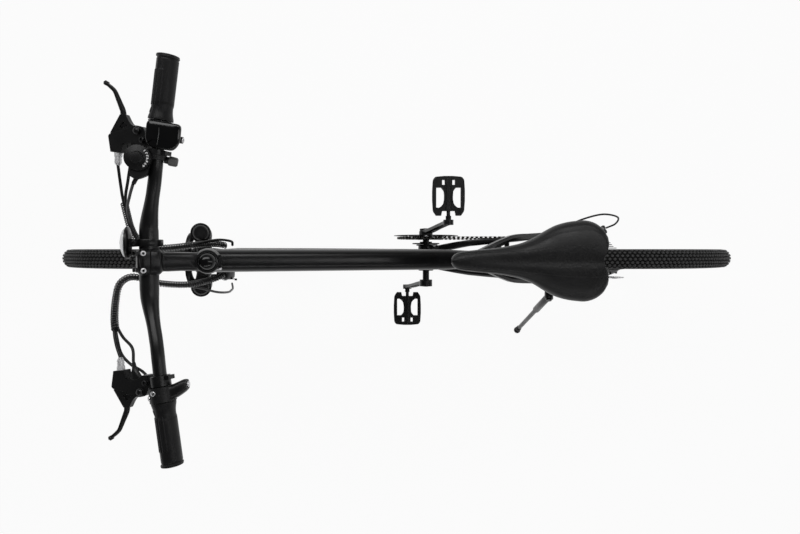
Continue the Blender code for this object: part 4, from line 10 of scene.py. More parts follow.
import bmesh
import bpy
import numpy as np
from mathutils import Matrix, Vector

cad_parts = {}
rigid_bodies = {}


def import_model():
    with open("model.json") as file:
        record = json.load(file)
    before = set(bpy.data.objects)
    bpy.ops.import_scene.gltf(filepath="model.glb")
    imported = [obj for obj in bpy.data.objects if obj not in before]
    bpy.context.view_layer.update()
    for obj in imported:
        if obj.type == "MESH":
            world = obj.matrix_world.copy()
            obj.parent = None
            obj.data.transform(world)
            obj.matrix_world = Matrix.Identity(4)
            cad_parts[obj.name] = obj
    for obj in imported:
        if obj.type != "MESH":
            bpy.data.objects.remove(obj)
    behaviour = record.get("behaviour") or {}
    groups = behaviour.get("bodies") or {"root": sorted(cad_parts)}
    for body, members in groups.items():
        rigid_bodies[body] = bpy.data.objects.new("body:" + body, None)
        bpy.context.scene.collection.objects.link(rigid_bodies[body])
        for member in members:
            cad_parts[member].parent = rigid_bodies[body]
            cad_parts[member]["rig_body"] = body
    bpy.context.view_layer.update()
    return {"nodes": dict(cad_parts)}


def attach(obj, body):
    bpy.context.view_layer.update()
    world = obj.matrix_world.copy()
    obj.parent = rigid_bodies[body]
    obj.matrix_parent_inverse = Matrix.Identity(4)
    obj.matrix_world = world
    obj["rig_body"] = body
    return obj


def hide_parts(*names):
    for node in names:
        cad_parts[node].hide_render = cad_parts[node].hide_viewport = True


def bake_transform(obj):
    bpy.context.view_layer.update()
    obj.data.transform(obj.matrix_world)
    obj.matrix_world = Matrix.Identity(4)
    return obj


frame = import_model()

# Stance of the bicycle on its kickstand
LEAN = math.radians(1.5)
STANCE_Y = -0.0275
TREAD_FLAT = 0.009
STANCE = Matrix.Translation((0.0, STANCE_Y, TREAD_FLAT * math.sin(LEAN))) @ Matrix.Rotation(-LEAN, 4, "X")

# Photograph: a camera straight above, with its nadir a little off the picture's middle
PHOTO_W = 800
PHOTO_FOCAL = 600.0
PHOTO_NADIR_U = 410.0
CAMERA = (-0.0343, 0.0081, 2.05)
SENSOR = 36.0

# Studio: a white floor, pale walls and a ceiling that is dark from this share of the sky's height
FLOOR_WHITE = 0.94
WALL_TOP = 0.0
CEILING_START = 0.32
WALL_LIGHT = 0.90
CEILING_LIGHT = 0.09

ACROSS = Vector((0, 1, 0))
SHARP_ANGLE = math.radians(38)


def linked(name, data):
    """A new object with this data, in the scene."""
    obj = bpy.data.objects.new(name, data)
    bpy.context.scene.collection.objects.link(obj)
    return obj


def add_node(tree, kind, inputs=None, **settings):
    """A shader node with its settings, and its inputs set to values or linked to other nodes' outputs."""
    node = tree.nodes.new("ShaderNode" + kind)
    for key, value in settings.items():
        setattr(node, key, value)
    for key, value in (inputs or {}).items():
        if isinstance(value, bpy.types.NodeSocket):
            tree.links.new(value, node.inputs[key])
        else:
            node.inputs[key].default_value = value
    return node


# Camera and light


def add_camera():
    data = bpy.data.cameras.new("photo_camera")
    data.sensor_width = SENSOR
    data.lens = PHOTO_FOCAL / PHOTO_W * SENSOR
    data.shift_x = -(PHOTO_NADIR_U - PHOTO_W / 2) / PHOTO_W
    camera = linked("photo_camera", data)
    camera.location = CAMERA
    camera.rotation_euler = (0.0, 0.0, math.pi)
    bpy.context.scene.camera = camera


def add_softbox(name, place, target, size, power):
    data = bpy.data.lights.new(name, "AREA")
    data.shape = "RECTANGLE"
    data.size, data.size_y = size
    data.energy = power
    lamp = linked(name, data)
    lamp.location = place
    lamp.rotation_euler = (Vector(target) - Vector(place)).to_track_quat("-Z", "Y").to_euler()


def add_light():
    add_softbox("key", (0.3, -1.7, 3.1), (0, 0, 0.6), (3.6, 0.90), 46.0)
    add_softbox("fill", (-0.2, 2.1, 2.6), (0, 0, 0.6), (3.4, 0.30), 12.0)
    add_softbox("rear", (-1.9, 0.1, 2.9), (0.3, 0, 0.8), (0.35, 2.6), 11.0)
    world = bpy.data.worlds.new("studio")
    bpy.context.scene.world = world
    world.use_nodes = True
    tree = world.node_tree
    tree.nodes.clear()
    place = add_node(tree, "TexCoord").outputs["Generated"]
    height = {"Value": add_node(tree, "SeparateXYZ", {0: place}).outputs["Z"]}
    height |= {"From Min": WALL_TOP, "From Max": CEILING_START, "To Min": WALL_LIGHT, "To Max": CEILING_LIGHT}
    light = add_node(tree, "MapRange", height).outputs["Result"]
    back = add_node(tree, "Background", {"Strength": light})
    add_node(tree, "OutputWorld", {"Surface": back.outputs[0]})


def seen_ray(tree):
    """1 for rays from the camera, and for those that a gloss or a lens passes on."""
    path = add_node(tree, "LightPath").outputs
    total = path["Is Camera Ray"]
    for kind in ("Is Glossy Ray", "Is Transmission Ray"):
        both = {0: total, 1: path[kind]}
        total = add_node(tree, "Math", both, operation="ADD", use_clamp=True).outputs[0]
    return total


def add_floor():
    bm = bmesh.new()
    bmesh.ops.create_grid(bm, x_segments=1, y_segments=1, size=6.0)
    floor = made("studio_floor", bm)
    floor.location.z = -0.0006
    paint = bpy.data.materials.new("floor_white")
    paint.use_nodes = True
    tree = paint.node_tree
    shader = tree.nodes["Principled BSDF"]
    shader.inputs["Base Color"].default_value = (0.92, 0.92, 0.92, 1)
    shader.inputs["Roughness"].default_value = 0.9
    shader.inputs["Specular IOR Level"].default_value = 0.0
    glow = add_node(tree, "Emission", {"Color": (1, 1, 1, 1), "Strength": 1.0})
    share = add_node(tree, "Math", {0: seen_ray(tree), 1: FLOOR_WHITE}, operation="MULTIPLY")
    mix = add_node(tree, "MixShader", {"Fac": share.outputs[0], 1: shader.outputs[0], 2: glow.outputs[0]})
    tree.links.new(mix.outputs[0], tree.nodes["Material Output"].inputs["Surface"])
    floor.data.materials.append(paint)


# Places and paths


def axes(origin, x_axis, y_axis, z_axis):
    """A frame from its origin and its three unit axes."""
    result = Matrix((x_axis, y_axis, z_axis)).transposed().to_4x4()
    result.translation = origin
    return result


def along(start, axis):
    """A frame at start whose Z runs along axis."""
    result = Vector((0, 0, 1)).rotation_difference(Vector(axis)).to_matrix().to_4x4()
    result.translation = start
    return result


def axle_frame(centre):
    """A frame on a wheel's axle whose Z points left."""
    return axes(centre, (1, 0, 0), (0, 0, -1), ACROSS)


def polar(centre, radius, angle, y=0.0):
    """A point round an axle that runs across the bicycle."""
    return centre + Vector((radius * math.cos(angle), y, radius * math.sin(angle)))


def turns(count):
    return [math.tau * i / count for i in range(count)]


def circle(place, radius, height, sides):
    """Points round the frame's Z."""
    return [place @ Vector((radius * math.cos(a), radius * math.sin(a), height)) for a in turns(sides)]


def smooth_path(points, steps=8):
    """Points on a Catmull-Rom curve through the given points."""
    points = [Vector(p) for p in points]
    ends = [points[0] * 2 - points[1], *points, points[-1] * 2 - points[-2]]
    result = []
    for i in range(len(points) - 1):
        p0, p1, p2, p3 = ends[i : i + 4]
        for step in range(steps):
            t = step / steps
            bend = 2 * p1 + (p2 - p0) * t + (2 * p0 - 5 * p1 + 4 * p2 - p3) * t**2
            result.append(0.5 * (bend + (3 * p1 - p0 - 3 * p2 + p3) * t**3))
    result.append(points[-1])
    return result


def path_frames(path):
    """A tangent and two square sides for each point, turned as little as possible along the path."""
    frames = []
    side = None
    for i in range(len(path)):
        tangent = (path[min(i + 1, len(path) - 1)] - path[max(i - 1, 0)]).normalized()
        side = side or tangent.orthogonal().normalized()
        side = (side - tangent * side.dot(tangent)).normalized()
        frames.append((tangent, side, tangent.cross(side)))
    return frames


def wound_rings(points, radius, wire, pitch, sides=6):
    """Rings of one strip that is wound round a path."""
    path = smooth_path(points)
    frames = path_frames(path)
    lengths = [0.0]
    for a, b in zip(path, path[1:]):
        lengths.append(lengths[-1] + (b - a).length)
    count = int(lengths[-1] / pitch * 16)
    rings = []
    j = 0
    for i in range(count + 1):
        at = lengths[-1] * i / count
        while j < len(path) - 2 and lengths[j + 1] < at:
            j += 1
        t = (at - lengths[j]) / max(lengths[j + 1] - lengths[j], 1e-9)
        (tangent, side, up), (_, next_side, next_up) = frames[j], frames[j + 1]
        a = math.tau * at / pitch
        out = side.lerp(next_side, t).normalized() * math.cos(a)
        out += up.lerp(next_up, t).normalized() * math.sin(a)
        point = path[j].lerp(path[j + 1], t)
        strip = [(radius + wire * math.cos(b), pitch * 0.27 * math.sin(b)) for b in turns(sides)]
        rings.append([point + out * high + tangent * ahead for high, ahead in strip])
    return rings


# Pieces


def made(name, bm, smooth=True):
    """An object from a bmesh, in the scene."""
    bmesh.ops.recalc_face_normals(bm, faces=bm.faces)
    mesh = bpy.data.meshes.new(name)
    bm.to_mesh(mesh)
    bm.free()
    if smooth:
        mesh.shade_smooth()
        mesh.set_sharp_from_angle(angle=SHARP_ANGLE)
    return linked(name, mesh)


def fix(obj, body, slot, finish=None, replaces=None, lean=True):
    """Leans an object with the bicycle, finishes it and joins it to its body; given two bodies instead, it only
    bakes the object's place.
    """
    if lean:
        obj.data.transform(STANCE)
    obj.data.materials.clear()
    obj.data.materials.append((finish or FINISHES[slot]).material)
    if isinstance(body, str):
        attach(obj, body)
    else:
        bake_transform(obj)
    if replaces:
        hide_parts(replaces)
    return obj


class Piece:
    """A mesh that is built up from turned, lofted and swept forms, and then fixed to a body."""

    def __init__(self, name, smooth=True):
        self.name = name
        self.smooth = smooth
        self.bm = bmesh.new()

    def loft(self, rings, closed=False):
        """Faces between rings of points, with the two ends capped. A ring may be a single point."""
        loops = [[self.bm.verts.new(point) for point in ring] for ring in rings]
        count = max(len(loop) for loop in loops)
        for low, high in zip(loops, loops[1:] + loops[:closed]):
            for i in range(count):
                corners = [low[i % len(low)], low[(i + 1) % len(low)]]
                corners += [high[(i + 1) % len(high)], high[i % len(high)]]
                corners = list(dict.fromkeys(corners))
                if len(corners) > 2:
                    self.bm.faces.new(corners)
        for end in (loops[0], loops[-1][::-1]):
            if len(end) > 2 and not closed:
                self.bm.faces.new(end)
        return self

    def turned(self, profile, place, sides=48, closed=False):
        """A profile of (radius, height) points turned round the frame's Z."""
        return self.loft([circle(place, r, h, sides if r > 1e-7 else 1) for r, h in profile], closed)

    def rod(self, start, end, radius, end_radius=None, sides=20):
        axis = end - start
        end_radius = radius if end_radius is None else end_radius
        shape = {"segments": sides, "radius1": radius, "radius2": end_radius, "depth": axis.length}
        bmesh.ops.create_cone(self.bm, cap_ends=True, matrix=along(start + axis / 2, axis), **shape)
        return self

    def plate(self, outline, thickness, place):
        """A flat outline in the frame's XY plane, extruded to both sides of it."""
        heights = (-thickness / 2, thickness / 2)
        return self.loft([[place @ Vector((x, y, z)) for x, y in outline] for z in heights])

    def block(self, centre, size, place, bevel):
        verts = bmesh.ops.create_cube(self.bm, size=1.0)["verts"]
        bmesh.ops.scale(self.bm, vec=size, verts=verts)
        bmesh.ops.translate(self.bm, vec=centre, verts=verts)
        edges = list({e for v in verts for e in v.link_edges})
        result = bmesh.ops.bevel(self.bm, geom=edges, offset=bevel, segments=2, profile=0.5, affect="EDGES")
        verts = list({v for f in result["faces"] for v in f.verts} | {v for v in verts if v.is_valid})
        bmesh.ops.transform(self.bm, matrix=place, verts=verts)

    def tube(self, points, radius, sides=12, steps=8):
        path = smooth_path(points, steps)
        circle_points = [(radius * math.cos(a), radius * math.sin(a)) for a in turns(sides)]
        rings = []
        for point, (_, side, up) in zip(path, path_frames(path)):
            rings.append([point + side * x + up * y for x, y in circle_points])
        return self.loft(rings)

    def fix(self, body, slot, finish=None, replaces=None):
        return fix(made(self.name, self.bm, self.smooth), body, slot, finish, replaces)


# Finer copies of the frame's own pieces

CREASE = math.cos(math.radians(52.0))
SAME_PLANE = math.cos(math.radians(0.6))
LEVEL = 3
CORNER_SPOTS = ((0, 0), (LEVEL, 0), (0, LEVEL))


def node_mesh(name):
    """The welded points and triangles of a CAD node."""
    mesh = frame["nodes"][name].data
    mesh.calc_loop_triangles()
    points = np.empty(len(mesh.vertices) * 3)
    mesh.vertices.foreach_get("co", points)
    faces = np.empty(len(mesh.loop_triangles) * 3, np.int32)
    mesh.loop_triangles.foreach_get("vertices", faces)
    points = points.reshape(-1, 3)
    keys = np.round(points * 1e6).astype(np.int64)
    _, first, index = np.unique(keys, axis=0, return_index=True, return_inverse=True)
    faces = index.reshape(-1)[faces].reshape(-1, 3)
    return points[first], faces[(faces != np.roll(faces, 1, axis=1)).all(1)]


class Groups:
    """Sets of numbers that can be joined two at a time."""

    def __init__(self, count):
        self.parent = list(range(count))

    def root(self, i):
        while self.parent[i] != i:
            self.parent[i] = self.parent[self.parent[i]]
            i = self.parent[i]
        return i

    def roots(self):
        return np.array([self.root(i) for i in range(len(self.parent))])

    def join(self, i, j):
        self.parent[self.root(i)] = self.root(j)


def corner_normals(points, faces):
    """The smooth surface's normal at each corner of each triangle, all edges, and those that are creased."""
    corners = points[faces]
    normals = np.cross(corners[:, 1] - corners[:, 0], corners[:, 2] - corners[:, 0])
    areas = np.linalg.norm(normals, axis=1)
    normals /= np.maximum(areas, 1e-18)[:, None]
    edges = {}
    for f, face in enumerate(faces.tolist()):
        for k in range(3):
            a, b = face[k], face[(k + 1) % 3]
            edges.setdefault((min(a, b), max(a, b)), []).append((f, k))
    same_corner = Groups(len(faces) * 3)
    same_plane = Groups(len(faces))
    sharp = set()
    for key, users in edges.items():
        angle = -1.0
        if len(users) == 2:
            (f, k), (g, m) = users
            angle = float(normals[f] @ normals[g])
        if angle > SAME_PLANE:
            same_plane.join(f, g)
        if angle < CREASE:
            sharp.add(key)
            continue
        same_corner.join(3 * f + k, 3 * g + (m + 1) % 3)
        same_corner.join(3 * f + (k + 1) % 3, 3 * g + m)
    plane_area = np.zeros(len(faces))
    planes = same_plane.roots()
    np.add.at(plane_area, planes, areas)
    total = np.zeros((len(faces) * 3, 3))
    roots = same_corner.roots()
    for k in range(3):
        ahead = corners[:, (k + 1) % 3] - corners[:, k]
        behind = corners[:, (k + 2) % 3] - corners[:, k]
        scale = np.linalg.norm(ahead, axis=1) * np.linalg.norm(behind, axis=1)
        spread = np.arccos(np.clip((ahead * behind).sum(1) / np.maximum(scale, 1e-18), -1, 1))
        weight = spread * plane_area[planes]
        np.add.at(total, roots[k::3], normals * weight[:, None])
    result = total[roots]
    result /= np.maximum(np.linalg.norm(result, axis=1), 1e-18)[:, None]
    return result.reshape(-1, 3, 3), edges, sharp


def edge_handle(start, end, normal, other):
    """The control point next to start on the edge's curve; the normals are those of its two faces there."""
    span = end - start
    square = np.cross(normal, other)
    size = np.linalg.norm(square)
    length = np.linalg.norm(span)
    if size > 0.2:
        handle = square / size * (square / size @ span)
        straight = np.linalg.norm(handle) < 0.55 * length
    else:
        middle = normal + other
        middle /= max(np.linalg.norm(middle), 1e-12)
        handle = span - middle * (middle @ span)
        straight = abs(middle @ span) > 0.6 * length
    return start + (span if straight else handle) / 3


def edge_handles(points, faces, normals, edges):
    handles = np.zeros((len(faces), 3, 3, 3))
    for users in edges.values():
        for f, k in users:
            n = (k + 1) % 3
            g, m = users[0] if users[-1] == (f, k) else users[-1]
            near = normals[g, (m + 1) % 3] if len(users) == 2 else normals[f, k]
            far = normals[g, m] if len(users) == 2 else normals[f, n]
            a, b = points[faces[f, k]], points[faces[f, n]]
            handles[f, k, n] = edge_handle(a, b, normals[f, k], near)
            handles[f, n, k] = edge_handle(b, a, normals[f, n], far)
    return handles


def refined(name):
    """A CAD node's mesh with each triangle curved to follow the round surface that its facets stand for."""
    points, faces = node_mesh(name)
    normals, edges, sharp = corner_normals(points, faces)
    handles = edge_handles(points, faces, normals, edges)
    corner = points[faces]
    middle = sum(handles[:, a, b] for a in range(3) for b in range(3) if a != b) / 6
    inner = middle * 1.5 - corner.mean(1) * 0.5
    edge_of = np.zeros((len(faces), 3), np.int64)
    edge_ids = {}
    for key, users in edges.items():
        edge_ids[key] = len(edge_ids)
        for f, k in users:
            edge_of[f, k] = edge_ids[key]
    forward = faces < np.roll(faces, -1, axis=1)
    spots = [(i, j) for i in range(LEVEL + 1) for j in range(LEVEL + 1 - i)]
    inner_spots = [(i, j) for i, j in spots if i > 0 and j > 0 and i + j < LEVEL]
    base = len(points)
    per_edge = LEVEL - 1
    inner_base = base + per_edge * len(edge_ids)
    result = np.zeros((inner_base + len(inner_spots) * len(faces), 3))
    result[:base] = points
    ids = np.zeros((len(faces), len(spots)), np.int64)
    for s, (i, j) in enumerate(spots):
        if (i, j) in CORNER_SPOTS:
            ids[:, s] = faces[:, CORNER_SPOTS.index((i, j))]
            continue
        if (i, j) in inner_spots:
            ids[:, s] = inner_base + inner_spots.index((i, j)) * len(faces) + np.arange(len(faces))
        else:
            k, step = (0, i) if j == 0 else ((1, j) if i + j == LEVEL else (2, LEVEL - j))
            ids[:, s] = base + edge_of[:, k] * per_edge + np.where(forward[:, k], step, LEVEL - step) - 1
        u, v = i / LEVEL, j / LEVEL
        w = 1.0 - u - v
        at = corner[:, 0] * w**3 + corner[:, 1] * u**3 + corner[:, 2] * v**3 + inner * 6 * u * v * w
        for a, b, p, q in ((0, 1, w, u), (1, 2, u, v), (2, 0, v, w)):
            at = at + 3 * (handles[:, a, b] * p * p * q + handles[:, b, a] * p * q * q)
        result[ids[:, s]] = at
    where = {spot: s for s, spot in enumerate(spots)}
    small = []
    for i in range(LEVEL):
        for j in range(LEVEL - i):
            small.append((where[i, j], where[i + 1, j], where[i, j + 1]))
            if i + j < LEVEL - 1:
                small.append((where[i + 1, j], where[i + 1, j + 1], where[i, j + 1]))
    mesh = bpy.data.meshes.new(name + "_fine")
    triangles = np.concatenate([ids[:, list(corners)] for corners in small])
    mesh.from_pydata(result.tolist(), [], triangles.tolist())
    mesh.update()
    sharp_keys = set()
    for key in sharp:
        chain = [key[0], *[base + edge_ids[key] * per_edge + s for s in range(per_edge)], key[1]]
        sharp_keys |= {(min(a, b), max(a, b)) for a, b in zip(chain, chain[1:])}
    mesh.shade_smooth()
    flags = [tuple(sorted(edge.vertices)) in sharp_keys for edge in mesh.edges]
    mesh.attributes.new("sharp_edge", "BOOLEAN", "EDGE").data.foreach_set("value", flags)
    return linked(name + "_fine", mesh)


# Finishes

CREASE_R = 0.0005


class Finish:
    """A Principled material with uneven colour and gloss, fine relief and softened edges."""

    def __init__(self, name, colour, roughness, metallic=0.0, coat=0.0, specular=0.5, **more):
        self.material = bpy.data.materials.new(name)
        self.material.use_nodes = True
        self.tree = self.material.node_tree
        self.inputs = self.tree.nodes["Principled BSDF"].inputs
        values = {"Metallic": metallic, "Coat Weight": coat, "Coat Roughness": 0.12} | more
        values["Specular IOR Level"] = specular
        for key, value in values.items():
            self.inputs[key.replace("_", " ")].default_value = value
        self.place = add_node(self.tree, "TexCoord").outputs["Object"]
        low, high = ((*[c * share for c in colour], 1) for share in (0.82, 1.22))
        self.paint(self.ramp(self.noise(9.0), 0.3, 0.7), low, high)
        wear = self.ramp(self.noise(38.0, 6.0), 0.25, 0.75, roughness * 0.84, roughness * 1.18)
        self.tree.links.new(wear, self.inputs["Roughness"])
        self.turn_normals(add_node(self.tree, "Bevel", {"Radius": CREASE_R}, samples=4))

    def noise(self, scale, detail=4.0):
        inputs = {"Vector": self.place, "Scale": scale, "Detail": detail}
        return add_node(self.tree, "TexNoise", inputs).outputs["Fac"]

    def cells(self, scale):
        return add_node(self.tree, "TexVoronoi", {"Vector": self.place, "Scale": scale}).outputs["Distance"]

    def ramp(self, value, low, high, start=0.0, end=1.0):
        inputs = {"Value": value, "From Min": low, "From Max": high, "To Min": start, "To Max": end}
        return add_node(self.tree, "MapRange", inputs).outputs["Result"]

    def turn_normals(self, node):
        self.normal = node.outputs["Normal"]
        self.tree.links.new(self.normal, self.inputs["Normal"])

    def relief(self, height, depth, strength=1.0):
        inputs = {"Height": height, "Normal": self.normal, "Distance": depth, "Strength": strength}
        self.turn_normals(add_node(self.tree, "Bump", inputs))

    def paint(self, share, low, high):
        """The colour: low where the share is 0, and high where it is 1."""
        inputs = {"Factor": share, "A": low, "B": high}
        self.colour = add_node(self.tree, "Mix", inputs, data_type="RGBA").outputs["Result"]
        self.tree.links.new(self.colour, self.inputs["Base Color"])

    def tint(self, share, colour):
        self.paint(share, self.colour, (*colour, 1))

    def worn_edges(self, colour, amount):
        """Bare metal or rubbed plastic on the sharpest edges."""
        edge = add_node(self.tree, "NewGeometry").outputs["Pointiness"]
        self.tint(self.ramp(edge, 0.54, 0.62, 0.0, amount), colour)


def finish(name, colour, roughness, grain=None, **values):
    """A finish with a fine grain: (scale, detail or None for cells, depth, strength)."""
    result = Finish(name, colour, roughness, **values)
    if grain:
        scale, detail, depth, strength = grain
        result.relief(result.noise(scale, detail) if detail else result.cells(scale), depth, strength)
    return result


def frame_paint():
    """Black paint with a finer and a coarser unevenness; the coarser one fades out behind the steering."""
    grain = (900.0, 2.0, 0.00012, 0.25)
    result = finish("gloss_black_paint", (0.003, 0.003, 0.0033), 0.31, grain, coat=0.05, specular=0.32)
    dents = result.ramp(result.cells(250.0), 0.10, 0.55)
    split = add_node(result.tree, "SeparateXYZ", {0: result.place})
    ahead = result.ramp(split.outputs["X"], -0.02, 0.16)
    mask = add_node(result.tree, "Math", {0: dents, 1: ahead}, operation="MULTIPLY")
    result.relief(mask.outputs[0], 0.0001, 0.35)
    return result


def anodised():
    grain = (2200.0, 2.0, 0.00005, 0.3)
    result = finish("black_anodised", (0.0052, 0.0052, 0.0057), 0.32, grain, metallic=0.25, specular=0.38)
    result.worn_edges((0.06, 0.06, 0.063), 0.3)
    return result


def plastic(name, colour, roughness):
    result = finish(name, colour, roughness, (1400.0, None, 0.0001, 0.5), specular=0.32)
    result.worn_edges((0.035, 0.035, 0.036), 0.4)
    return result


def rubber(name, colour, roughness):
    return finish(name, colour, roughness, (900.0, 5.0, 0.00018, 0.6), specular=0.20)


def steel(name, colour, roughness):
    result = finish(name, colour, roughness, (1500.0, 3.0, 0.00005, 0.35), metallic=1.0)
    grime = result.ramp(result.noise(60.0, 6.0), 0.52, 0.72, 0.0, 0.5)
    result.tint(grime, tuple(c * 0.35 for c in colour))
    return result


def vinyl(name, dimpled):
    grain = (620.0, None, 0.00022, 0.5)
    result = finish(name, (0.0042, 0.0042, 0.0045), 0.46, grain, specular=0.36, Sheen_Weight=0.03)
    if dimpled:
        bead = result.ramp(result.cells(190.0), 0.1, 0.55, 1.0, 0.0)
        result.relief(bead, 0.0005, 0.45)
        # Lighter colour on the raised beads: a painted highlight on the dimples' tops
        result.tint(result.ramp(bead, 0.4, 0.9, 0.0, 0.22), (0.016, 0.016, 0.0165))
    return result


def clear_lens():
    # Near-white colour with little light let through: a painted reflection in the clear lens
    result = finish("clear_lens", (0.92, 0.93, 0.94), 0.06, Transmission_Weight=0.15, IOR=1.49)
    result.relief(result.ramp(result.cells(330.0), 0.0, 0.5), 0.00012, 0.4)
    return result


SATIN_GRAIN = (1300.0, 2.0, 0.00008, 0.3)
SATIN_BLACK = (0.0038, 0.0038, 0.0041)
GLOSS_GRAIN = (260.0, 2.0, 0.00008, 0.15)
GLOSS_BLACK = (0.0025, 0.0025, 0.0028)
FINISHES = {
    "gloss_black": frame_paint(),
    "satin_black": finish("satin_black_paint", SATIN_BLACK, 0.33, SATIN_GRAIN, coat=0.04, specular=0.34),
    "anodised_black": anodised(),
    "moulded_black": plastic("moulded_black_plastic", (0.0045, 0.0045, 0.0048), 0.40),
    "drive_side_housing": finish(
        "gloss_black_plastic", GLOSS_BLACK, 0.17, GLOSS_GRAIN, coat=0.06, specular=0.34,
    ),
    "grip_rubber": rubber("grip_rubber", (0.0085, 0.0085, 0.009), 0.42),
    # The tyre's casing is painted nearly black: painted shade in the gaps between the knobs
    "tyre_rubber": rubber("tyre_casing_rubber_painted_shade", (0.002, 0.002, 0.0021), 0.75),
    "dark_steel": steel("blackened_steel", (0.030, 0.030, 0.032), 0.38),
    "steel": steel("bright_steel", (0.62, 0.62, 0.63), 0.24),
    "saddle_vinyl": vinyl("saddle_vinyl_smooth", False),
    "lamp_lens": clear_lens(),
}
# The knobs are the casing's rubber painted much lighter: a painted highlight on their lit tops
KNOB_RUBBER_PAINTED_HIGHLIGHT = rubber("tyre_knob_rubber_painted_highlight", (0.054, 0.054, 0.0545), 0.56)
DIMPLED_VINYL = vinyl("saddle_vinyl_dimpled", True)
WHITE_PRINT = finish("white_print", (0.75, 0.75, 0.75), 0.5)
CHAIN_STEEL = steel("oiled_chain_steel", (0.060, 0.057, 0.054), 0.34)
# Grey: the shifter's real grey cap, and a painted highlight along the throttle housing's seam
GREY_CAP_AND_SEAM_HIGHLIGHT = plastic("grey_plastic_and_painted_seam_highlight", (0.11, 0.11, 0.11), 0.42)
BOLT_GRAIN = (1400.0, 3.0, 0.00004, 0.3)
BOLT_ZINC = finish("bright_zinc_bolt", (0.72, 0.72, 0.73), 0.38, BOLT_GRAIN, metallic=0.45)
SLEEVE_GRAIN = (700.0, 3.0, 0.00005, 0.3)
# Black plastic painted grey: a painted sheen standing in for the gloss on the wrap's crests
SLEEVE = finish("spiral_sleeve_painted_sheen", (0.038, 0.038, 0.0385), 0.24, SLEEVE_GRAIN, specular=0.7)
REFLECTOR = steel("lamp_reflector", (0.80, 0.80, 0.82), 0.18)


def slot_of(name):
    return frame["nodes"][name].data.materials[0].name


# Wheels

WHEEL_R = 0.343
WHEELBASE = 1.118
FRONT_AXLE = Vector((WHEELBASE / 2, 0, WHEEL_R))
REAR_AXLE = Vector((-WHEELBASE / 2, 0, WHEEL_R))
CHAINSTAY = 0.478
BB_DROP = 0.053
BB = REAR_AXLE + Vector((CHAINSTAY, 0, -BB_DROP))
TYRE_HALF = 0.0245
CASING_R = 0.320
CASING_H = 0.0195
BEAD_R = 0.303
BEAD_Y = 0.0115
KNOB_ROWS = 7
KNOBS_ROUND = 190
KNOB_H = 0.003
RIM_TOP_R = 0.302
RIM_BED_R = 0.2765
RIM_HALF = 0.0145
SPOKES = 28
SPOKE_R = 0.0011
VALVE_ANGLE = math.radians(62)
MOTOR_R = 0.066
MOTOR_FLANGE = MOTOR_R + 0.004
ROTOR_T = 0.0018
ROTOR_Y = {"front": 0.0345, "rear": 0.0555}


def casing_point(angle, lift=0.0):
    """(radius, across) on the tyre's casing at an angle from its crown."""
    half = TYRE_HALF - 0.0015 + lift * 0.5
    return CASING_R + (CASING_H + lift) * math.cos(angle), half * math.sin(angle)


def casing(name, axle):
    outside = [casing_point(math.radians(138) * (i / 12 - 1)) for i in range(25)]
    low = BEAD_R - 0.009
    bead_low = [(low, -BEAD_Y + 0.0005), (BEAD_R, -BEAD_Y)]
    bead_high = [(BEAD_R, BEAD_Y), (low, BEAD_Y - 0.0005)]
    inside = [(low, BEAD_Y - 0.003), (0.325, 0.017), (0.334, 0.0), (0.325, -0.017), (low, -BEAD_Y + 0.003)]
    return Piece(name).turned(bead_low + outside + bead_high + inside, axle_frame(axle), 144, True)


def knobs(name, axle):
    """Staggered rows of six-sided blocks round the tread."""
    piece = Piece(name, smooth=False)
    place = axle_frame(axle)
    for row in range(KNOB_ROWS):
        share = row - (KNOB_ROWS - 1) / 2
        edge = abs(share) > 2.5
        half_round = 0.0047 if edge else 0.0040
        half_across = 0.0034 if edge else 0.0030
        for i in range(KNOBS_ROUND):
            turn = (i + 0.5 * (row % 2)) * math.tau / KNOBS_ROUND
            rings = []
            for lift, size in ((-0.0004, 1.12), (KNOB_H * (0.9 if edge else 1.0), 0.82)):
                ring = []
                for a in turns(6):
                    across = half_across * size * math.sin(a)
                    radius, y = casing_point(share * math.radians(19.5) + across / CASING_H, lift)
                    at = turn + half_round * size * math.cos(a) / radius
                    ring.append(place @ Vector((radius * math.cos(at), radius * math.sin(at), y)))
                rings.append(ring)
            piece.loft(rings)
    return piece


def rim(name, axle):
    top, bed, half = RIM_TOP_R, RIM_BED_R, RIM_HALF
    profile = [(top, half - 0.0025), (top + 0.0006, half - 0.001), (top, half), (top - 0.01, half)]
    profile += [(top - 0.0108, half - 0.0006), (bed + 0.007, half * 0.86), (bed + 0.0016, half * 0.66)]
    profile.append((bed, half * 0.42))
    mirrored = [(r, -y) for r, y in reversed(profile)]
    floor = [(bed + 0.0065, -half * 0.66), (bed + 0.0065, half * 0.66)]
    return Piece(name).turned(profile + mirrored + floor, axle_frame(axle), 144, True)


def spoke_lines(axle, flanges):
    """Start, end and the head's side of each crossed spoke."""
    each = SPOKES // 2
    for side, (flange_y, flange_r) in enumerate(flanges):
        for i in range(each):
            angle = math.tau * (i + 0.5 * side) / each
            lead = 1 if i % 2 else -1
            out = math.copysign(0.0017, flange_y) * lead
            start = polar(axle, flange_r - 0.0028, angle, flange_y + out)
            end = polar(axle, RIM_BED_R, angle + lead * math.tau * 0.068, math.copysign(0.0035, flange_y))
            yield start, end, out


def spokes(name, axle, flanges):
    piece = Piece(name)
    for start, end, out in spoke_lines(axle, flanges):
        piece.rod(start, end, SPOKE_R, sides=8)
        head = start + ACROSS * math.copysign(0.0016, out)
        piece.rod(head - ACROSS * out, head, 0.0019, sides=10)
    return piece


def nipples(name, axle, flanges):
    piece = Piece(name)
    for start, end, _ in spoke_lines(axle, flanges):
        back = (start - end).normalized()
        piece.rod(end - back * 0.002, end + back * 0.009, 0.0021, 0.0017, sides=8)
    return piece


